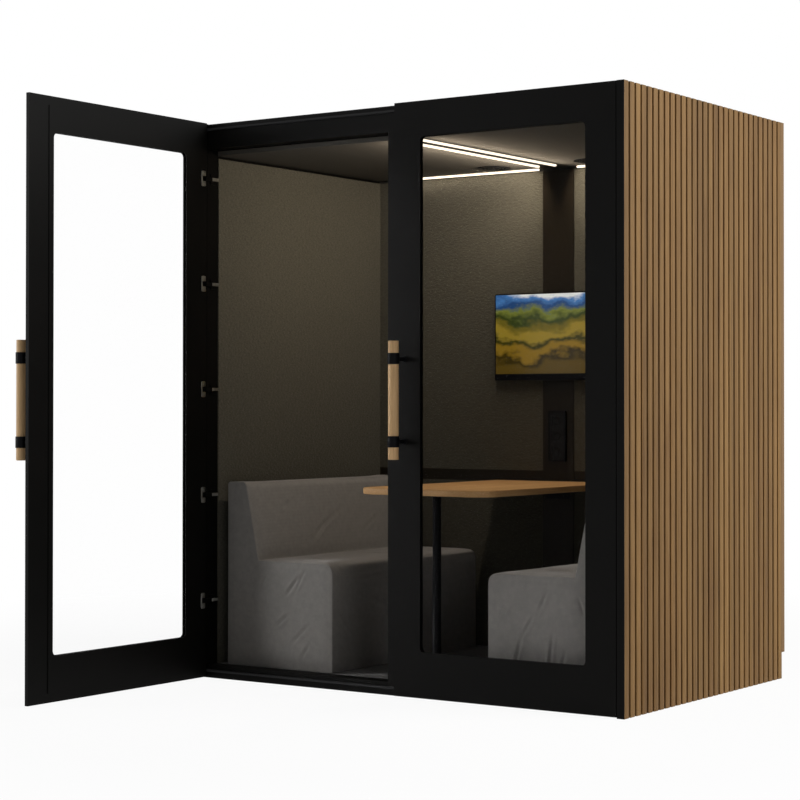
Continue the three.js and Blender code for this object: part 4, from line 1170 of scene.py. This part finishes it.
@dataclass
class Benches:
    """The two upholstered benches: an L-shaped end carried along, as cloth on foam, and its mirror image.

    The three values of each hold are for the edges of the ends, the crease behind the seat, and the floor.
    """

    swell: float = 1.5 * MM
    top_lift: float = 9 * MM
    seat_lift: float = 9 * MM
    seat_reach: float = 9 * MM
    seat_round: float = 46 * MM
    back_round: float = 32 * MM
    wall_round: float = 18 * MM
    crease_round: float = 5 * MM
    foot_round: float = 10 * MM
    end_round: float = 4 * MM
    back_depth: float = 164 * MM
    back_top_depth: float = 100 * MM
    corner_steps: int = 10
    step: float = 18 * MM
    end_step: float = 8 * MM
    hold_share: Triple = (0.5, 1.0, 1.0)
    hold_start: Triple = (1.4, 1.4, 1.5)
    hold_reach: Triple = (24 * MM, 20 * MM, 16 * MM)
    past_back: float = 60 * MM
    cap: float = 4.5 * MM
    frames: int = 16
    cloth: dict[str, object] = field(
        default_factory=lambda: {
            "quality": 4,
            "mass": 0.3,
            "tension_stiffness": 12.0,
            "compression_stiffness": 12.0,
            "bending_stiffness": 0.4,
            "use_pressure": True,
            "uniform_pressure_force": 3.0,
        }
    )
    shared: tuple[Crease, ...] = (
        Crease((156, 330, 460), (125, 530, 610), 6.2, 10),
        Crease((145, 380, 510), (118, 640, 640), 4.1, 8),
        Crease((148, 700, 500), (128, 860, 590)),
        Crease((137, 150, 620), (117, 290, 660), 4.1, 8),
        Crease((542, 60, 350), (542, 420, 367), 4.1, 8),
        Crease((542, 200, 310), (542, 520, 200), 5.4, 10),
        Crease((542, 560, 330), (542, 800, 250)),
        Crease((542, 30, 250), (542, 160, 120)),
        Crease((300, 480, 429), (430, 640, 429), 3.8, 9),
        Crease((260, 200, 429), (380, 130, 429), 3.5, 8),
    )
    ends: dict[Side, tuple[Crease, ...]] = field(
        default_factory=lambda: {
            Side.LEFT: (
                Crease((300, 0, 280), (400, 0, 395)),
                Crease((350, 0, 300), (415, 0, 410), 4.4, 6.5),
                Crease((250, 0, 160), (330, 0, 225)),
                Crease((325, 0, 90), (445, 0, 200), 4.1),
                Crease((375, 0, 30), (440, 0, 120), 3.1),
                Crease((170, 0, 300), (215, 0, 380), 4.8),
            ),
            Side.RIGHT: (
                Crease((250, 0, 250), (278, 0, 10), 6.1, 6.5),
                Crease((375, 0, 245), (438, 0, 20), 5.8, 7),
                Crease((330, 0, 290), (390, 0, 190), 4.4, 6.5),
                Crease((150, 0, 370), (118, 0, 280), 5.1, 6.5),
                Crease((270, 0, 390), (325, 0, 270), 4.4),
                Crease((190, 0, 180), (230, 0, 60), 4.1, 6.5),
                Crease((440, 0, 330), (490, 0, 230), 3.7),
            ),
        }
    )

    def build(self) -> None:
        """Makes the left bench in place of its seat and back, and the right one as its mirror image."""
        low, high = node_box("bench_seat_left")
        top = node_box("bench_back_left")[1][2] + self.top_lift
        depth, seat = high[0] - low[0] + self.seat_reach, high[2] - low[2] + self.seat_lift
        outline = self.outline(depth, seat, top - low[2])
        left = placed(self.cover(outline, high[1] - low[1]), low).to_object("upholstered_bench_left")
        self.upholster(left, low, outline, high[1] - low[1])
        right = bpy.data.objects.new("upholstered_bench_right", left.data.copy())
        bpy.context.scene.collection.objects.link(right)
        right.data.vertices.foreach_set("co", (self.points(right) * [-1.0, 1.0, 1.0]).ravel())
        right.data.flip_normals()
        for piece, side in ((left, Side.LEFT), (right, Side.RIGHT)):
            self.crease(piece, side, low)
            nodes = (f"bench_seat_{side.label}", f"bench_back_{side.label}")
            settle(piece, "pod", "upholstery", nodes)

    def outline(self, depth: float, seat: float, back: float) -> np.ndarray:
        """Draws the end of the bench from the wall (first axis) and the carpet (second axis).

        Args:
            depth: Depth of the bench.
            seat: Height of the seat.
            back: Height of the back.

        Returns:
            The outline.
        """
        rounded_corners = (
            (0.0, -self.swell, self.foot_round),
            (depth, -self.swell, self.foot_round),
            (depth, seat, self.seat_round),
            (self.back_depth, seat, self.crease_round),
            (self.back_top_depth, back, self.back_round),
            (0.0, back, self.wall_round),
        )
        corners = np.array(rounded_corners)
        return rounded_outline(corners[:, :2], corners[:, 2], self.corner_steps)

    def cover(self, outline: np.ndarray, length: float) -> Surface:
        """Carries the outline along the bench in even steps, with eased ends that are filled with triangles.

        Args:
            outline: Outline of the bench's end.
            length: Length of the bench.

        Returns:
            The cover as it is cut, with even faces that can swell.
        """
        shape = inset(resampled(outline, self.step), np.array([self.swell]))[0]
        ends = eased_stack(shape, self.swell, length - self.swell, self.end_round)
        first, last = np.split(ends, 2)
        share = np.linspace(0.0, 1.0, round(length / self.step))[1:-1, None, None]
        rings = np.concatenate([first, first[-1] + share * (last[0] - first[-1]), last])[..., [0, 2, 1]]
        barrel = Surface.from_rings(rings)
        spots, triangles = filled(ends[0, :, :2], self.end_step)
        around, count = len(shape), len(barrel.points)
        caps, points = [], [barrel.points]
        for number, ring in enumerate((0, len(rings) - 1)):
            start = count + number * len(spots)
            caps += list(np.where(triangles < around, triangles + ring * around, triangles - around + start))
            points.append(np.column_stack([spots[:, 0], np.full(len(spots), rings[ring, 0, 1]), spots[:, 1]]))
        return Surface(np.concatenate(points), barrel.quads, caps)

    def upholster(self, piece: Object, origin: np.ndarray, outline: np.ndarray, length: float) -> None:
        """Swells the bench as a cover over foam, held at the floor, in the crease and softly along its edges.

        A point that the cloth moves by m ends up moved by cap tanh(m / cap).

        Args:
            piece: The bench, as drawn.
            origin: Its lowest corner at the wall and the front.
            outline: Outline of its end.
            length: Its length.
        """
        start = self.points(piece)
        group = piece.vertex_groups.new(name="sewn")
        held = np.round(self.hold(start - origin, outline, length), 1)
        for level in np.unique(held[held > 0]):
            group.add(np.flatnonzero(held == level).tolist(), float(level), "REPLACE")
        cloth = piece.modifiers.new("cloth", "CLOTH")
        for name, value in self.cloth.items():
            setattr(cloth.settings, name, value)
        cloth.settings.vertex_group_mass = "sewn"
        cloth.settings.effector_weights.gravity = 0.0
        cloth.point_cache.frame_end = self.frames
        scene = bpy.context.scene
        for frame in range(1, self.frames + 1):
            scene.frame_set(frame)
        self.bake(piece)
        scene.frame_set(1)
        moved = self.points(piece) - start
        far = np.maximum(np.linalg.norm(moved, axis=1, keepdims=True), CLOSE)
        log.info("%s swelled %.1f mm before its cap", piece.name, float(far.max()) / MM)
        swelled = start + moved * (self.cap * np.tanh(far / self.cap) / far)
        piece.data.vertices.foreach_set("co", swelled.ravel())
        finer = piece.modifiers.new("finer", "SUBSURF")
        finer.levels = finer.render_levels = 1
        self.bake(piece)

    def crease(self, piece: Object, side: Side, origin: np.ndarray) -> None:
        """Pulls the creases of one bench into its cover, along the normals.

        Args:
            piece: The swelled bench.
            side: Its side, whose creases it gets with the shared ones.
            origin: Lowest corner of the left bench, from which creases are measured on both.
        """
        piece.data.update()
        fine = self.points(piece)
        normals = np.empty(len(fine) * 3)
        piece.data.vertices.foreach_get("normal", normals)
        local = fine * [-side.value, 1.0, 1.0] - origin
        height = sum(crease.height(local) for crease in self.shared + self.ends[side])
        creased = fine + normals.reshape(-1, 3) * np.asarray(height)[:, None]
        piece.data.vertices.foreach_set("co", creased.ravel())
        piece.data.polygons.foreach_set("use_smooth", np.ones(len(piece.data.polygons), dtype=bool))
        piece.data.update()

    def hold(self, local: np.ndarray, outline: np.ndarray, length: float) -> np.ndarray:
        """Says how firmly each point is held, as the largest share (start - distance / reach), cut to 0 to 1.

        Args:
            local: Points from the bench's own corner.
            outline: Outline of its end.
            length: Its length.

        Returns:
            A share from 0 to 1 for each point.
        """
        section, along = local[:, [0, 2]], local[:, 1]
        edge = np.maximum(np.minimum(along, length - along), np.abs(to_outline(section, outline)))
        seat = outline[:, 1][outline[:, 0] > self.back_depth + self.past_back].max()
        sewn = np.linalg.norm(section - [self.back_depth, seat], axis=1)
        away = np.stack([edge, sewn, local[:, 2]], axis=1)
        firm = np.clip(np.array(self.hold_start) - away / np.array(self.hold_reach), 0.0, 1.0)
        return (firm * np.array(self.hold_share)).max(axis=1)

    @staticmethod
    def points(piece: Object) -> np.ndarray:
        """Reads the points of a piece.

        Args:
            piece: The piece.

        Returns:
            Array of points by three.
        """
        flat = np.empty(len(piece.data.vertices) * 3)
        piece.data.vertices.foreach_get("co", flat)
        return flat.reshape(-1, 3)

    @staticmethod
    def bake(piece: Object) -> None:
        """Puts the result of a piece's modifiers into its mesh and removes them.

        Args:
            piece: The piece.
        """
        shown = piece.evaluated_get(bpy.context.evaluated_depsgraph_get())
        mesh = bpy.data.meshes.new_from_object(shown)
        piece.modifiers.clear()
        piece.data = mesh


@dataclass
class SocketFaces:
    """Round socket faces of the power module, one in each of its square recesses."""

    count: int = 3
    dish_radius: float = 17 * MM
    dish_depth: float = 1.6 * MM
    rim: float = 2 * MM
    recess: float = 4 * MM
    sides: int = 40

    def build(self) -> None:
        """Turns a dished face with a raised rim for each recess, flat at the back."""
        low, high = node_box("power_insert")
        step = (high[2] - low[2]) / self.count
        r, d, rim = self.dish_radius, self.dish_depth, self.rim
        profile = [[r + rim, 0.0], [r + rim, d], [r + rim / 2, d + 0.3 * rim], [r, d], [r - rim, rim / 4]]
        face = revolved(np.array(profile), self.sides)
        middle, back = (low[0] + high[0]) / 2, low[1] + self.recess
        spots = [[middle, back, low[2] + (i + 0.5) * step] for i in range(self.count)]
        piece = Surface.joined([placed(face, spot, [X, Z, -Y]) for spot in spots]).to_object("socket_faces")
        settle(piece, "pod", "socket_plastic")


@dataclass(frozen=True)
class SoftLamp:
    """A rectangular lamp that faces a point, with the lengths of its sides and its power in watts."""

    name: str
    place: Triple
    target: Triple
    size: Pair
    power: float

    def build(self) -> Object:
        """Hangs the lamp, tipped from straight down and turned about z so that it faces its target.

        Returns:
            The lamp.
        """
        light = bpy.data.lights.new(self.name, "AREA")
        light.shape = "RECTANGLE"
        light.size, light.size_y = self.size
        light.energy = self.power
        lamp = bpy.data.objects.new(self.name, light)
        lamp.location = self.place
        away = np.array(self.place) - np.array(self.target)
        tip = math.atan2(math.hypot(away[0], away[1]), away[2])
        lamp.rotation_euler = (tip, 0.0, math.atan2(away[1], away[0]) + math.pi / 2)
        bpy.context.scene.collection.objects.link(lamp)
        return lamp


@dataclass
class Studio:
    """Camera, floor, world and lamps."""

    camera_place: Triple = (4.4878, -6.7413, 1.0915)
    look_turn: float = 33.337
    look_up: float = 0.63
    focal_pixels: float = 2002.7
    axis_pixel: Pair = (500.0, 385.0)
    image: float = 800.0
    sensor: float = 36.0
    sight: float = 200.0
    floor_half: float = 40.0
    floor_drop: float = 0.5 * MM
    ambient: float = 0.1
    lamps: tuple[SoftLamp, ...] = (
        SoftLamp("key_lamp", (7.5, 2.0, 4.8), (1.0, 0.0, 1.1), (4.0, 4.0), 700.0),
        SoftLamp("front_lamp", (-8.3, -6.0, 2.4), (-0.7, -0.5, 0.5), (3.0, 3.0), 255.0),
        SoftLamp("fill_lamp", (6.5, -5.5, 1.8), (-0.4, -0.2, 0.3), (2.0, 2.0), 26.0),
    )
    strip_tint: str = "fff1e0"
    strip_power: float = 11.0
    strip_tilt: float = 65.0
    strip_shift: Pair = (0.0, -45 * MM)
    back_strip_power: float = 0.42
    back_strip_tilt: float = 25.0
    back_strip_shift: Pair = (-25 * MM, -8 * MM)

    def build(self) -> None:
        """Builds all of it."""
        self.camera()
        self.floor()
        self.world()
        for lamp in self.lamps:
            lamp.build()
        for side in Side:
            out = math.tan(math.radians(self.strip_tilt)) * side.value
            self.strip(f"ceiling_light_{side.label}", (out, 0.0), self.strip_shift, self.strip_power)
            back = math.tan(math.radians(self.back_strip_tilt))
            self.strip(f"back_light_{side.label}", (0.0, back), self.back_strip_shift, self.back_strip_power)

    def strip(self, node: str, lean: Pair, shift: Pair, power: float) -> None:
        """Hangs a narrow warm lamp under a light strip, leaning out towards a wall.

        Args:
            node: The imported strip.
            lean: How far it leans along x and y for each metre down.
            shift: How far it hangs from the strip along y and z.
            power: Its power in watts.
        """
        low, high = node_box(node)
        sides = (high - low)[:2]
        place = ((low[0] + high[0]) / 2, (low[1] + high[1]) / 2 + shift[0], low[2] + shift[1])
        target = (place[0] + lean[0], place[1] + lean[1], place[2] - 1.0)
        size = (float(sides.max()), float(sides.min()))
        lamp = SoftLamp(f"{node}_lamp", place, target, size, power).build()
        lamp.data.color = linear(self.strip_tint)[:3]
        lamp.visible_camera = lamp.visible_glossy = lamp.visible_transmission = False

    def camera(self) -> None:
        """Places the camera where the perspective of the photograph puts it."""
        lens = bpy.data.cameras.new("camera")
        lens.sensor_width = self.sensor
        lens.lens = self.focal_pixels / self.image * lens.sensor_width
        lens.shift_x = (self.image / 2 - self.axis_pixel[0]) / self.image
        lens.shift_y = (self.axis_pixel[1] - self.image / 2) / self.image
        lens.clip_end = self.sight
        eye = bpy.data.objects.new("camera", lens)
        eye.location = self.camera_place
        eye.rotation_euler = (math.radians(90.0 + self.look_up), 0.0, math.radians(self.look_turn))
        bpy.context.scene.collection.objects.link(eye)
        bpy.context.scene.camera = eye

    def floor(self) -> None:
        """Lays a square floor a hair below the pod, as a grid of two by two points."""
        h, z = self.floor_half, -self.floor_drop
        mesh = bpy.data.meshes.new("studio_floor")
        mesh.from_pydata([(-h, -h, z), (h, -h, z), (h, h, z), (-h, h, z)], [], [(0, 1, 2, 3)])
        ground = bpy.data.objects.new("studio_floor", mesh)
        bpy.context.scene.collection.objects.link(ground)
        mesh.materials.append(STUDIO_FLOOR.material())

    def world(self) -> None:
        """Makes the world white to camera, mirror and glass rays, and a plain level of light to the rest."""
        world = bpy.data.worlds.new("studio")
        bpy.context.scene.world = world
        world.use_nodes = True
        tree = world.node_tree
        inputs = {"Value": seen_directly(tree), "To Min": self.ambient, "To Max": 1.0}
        level = add_node(tree, "MapRange", inputs)
        feed(tree.nodes["Background"], {"Color": linear(WHITE), "Strength": level})


def dress_nodes(frame: dict) -> None:
    """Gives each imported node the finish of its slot.

    Args:
        frame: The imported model, as it was loaded.
    """
    for part in frame["record"]["subparts"]:
        material = FINISHES[part["material_slot"]].material()
        for holder in frame["nodes"][part["node"]].material_slots:
            holder.link = "OBJECT"
            holder.material = material


def main() -> None:
    """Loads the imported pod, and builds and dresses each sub-assembly."""
    logging.basicConfig(level=logging.INFO, format="%(name)s: %(message)s")
    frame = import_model()
    bpy.context.scene.view_settings.view_transform = "Standard"
    Studio().build()
    dress_nodes(frame)
    for side in Side:
        Cladding(side).build()
        Handle(side).build()
        Pane(side).build()
        HingeCovers(side).build()
    Benches().build()
    Table().build()
    SocketFaces().build()


if __name__ == "__main__":
    main()
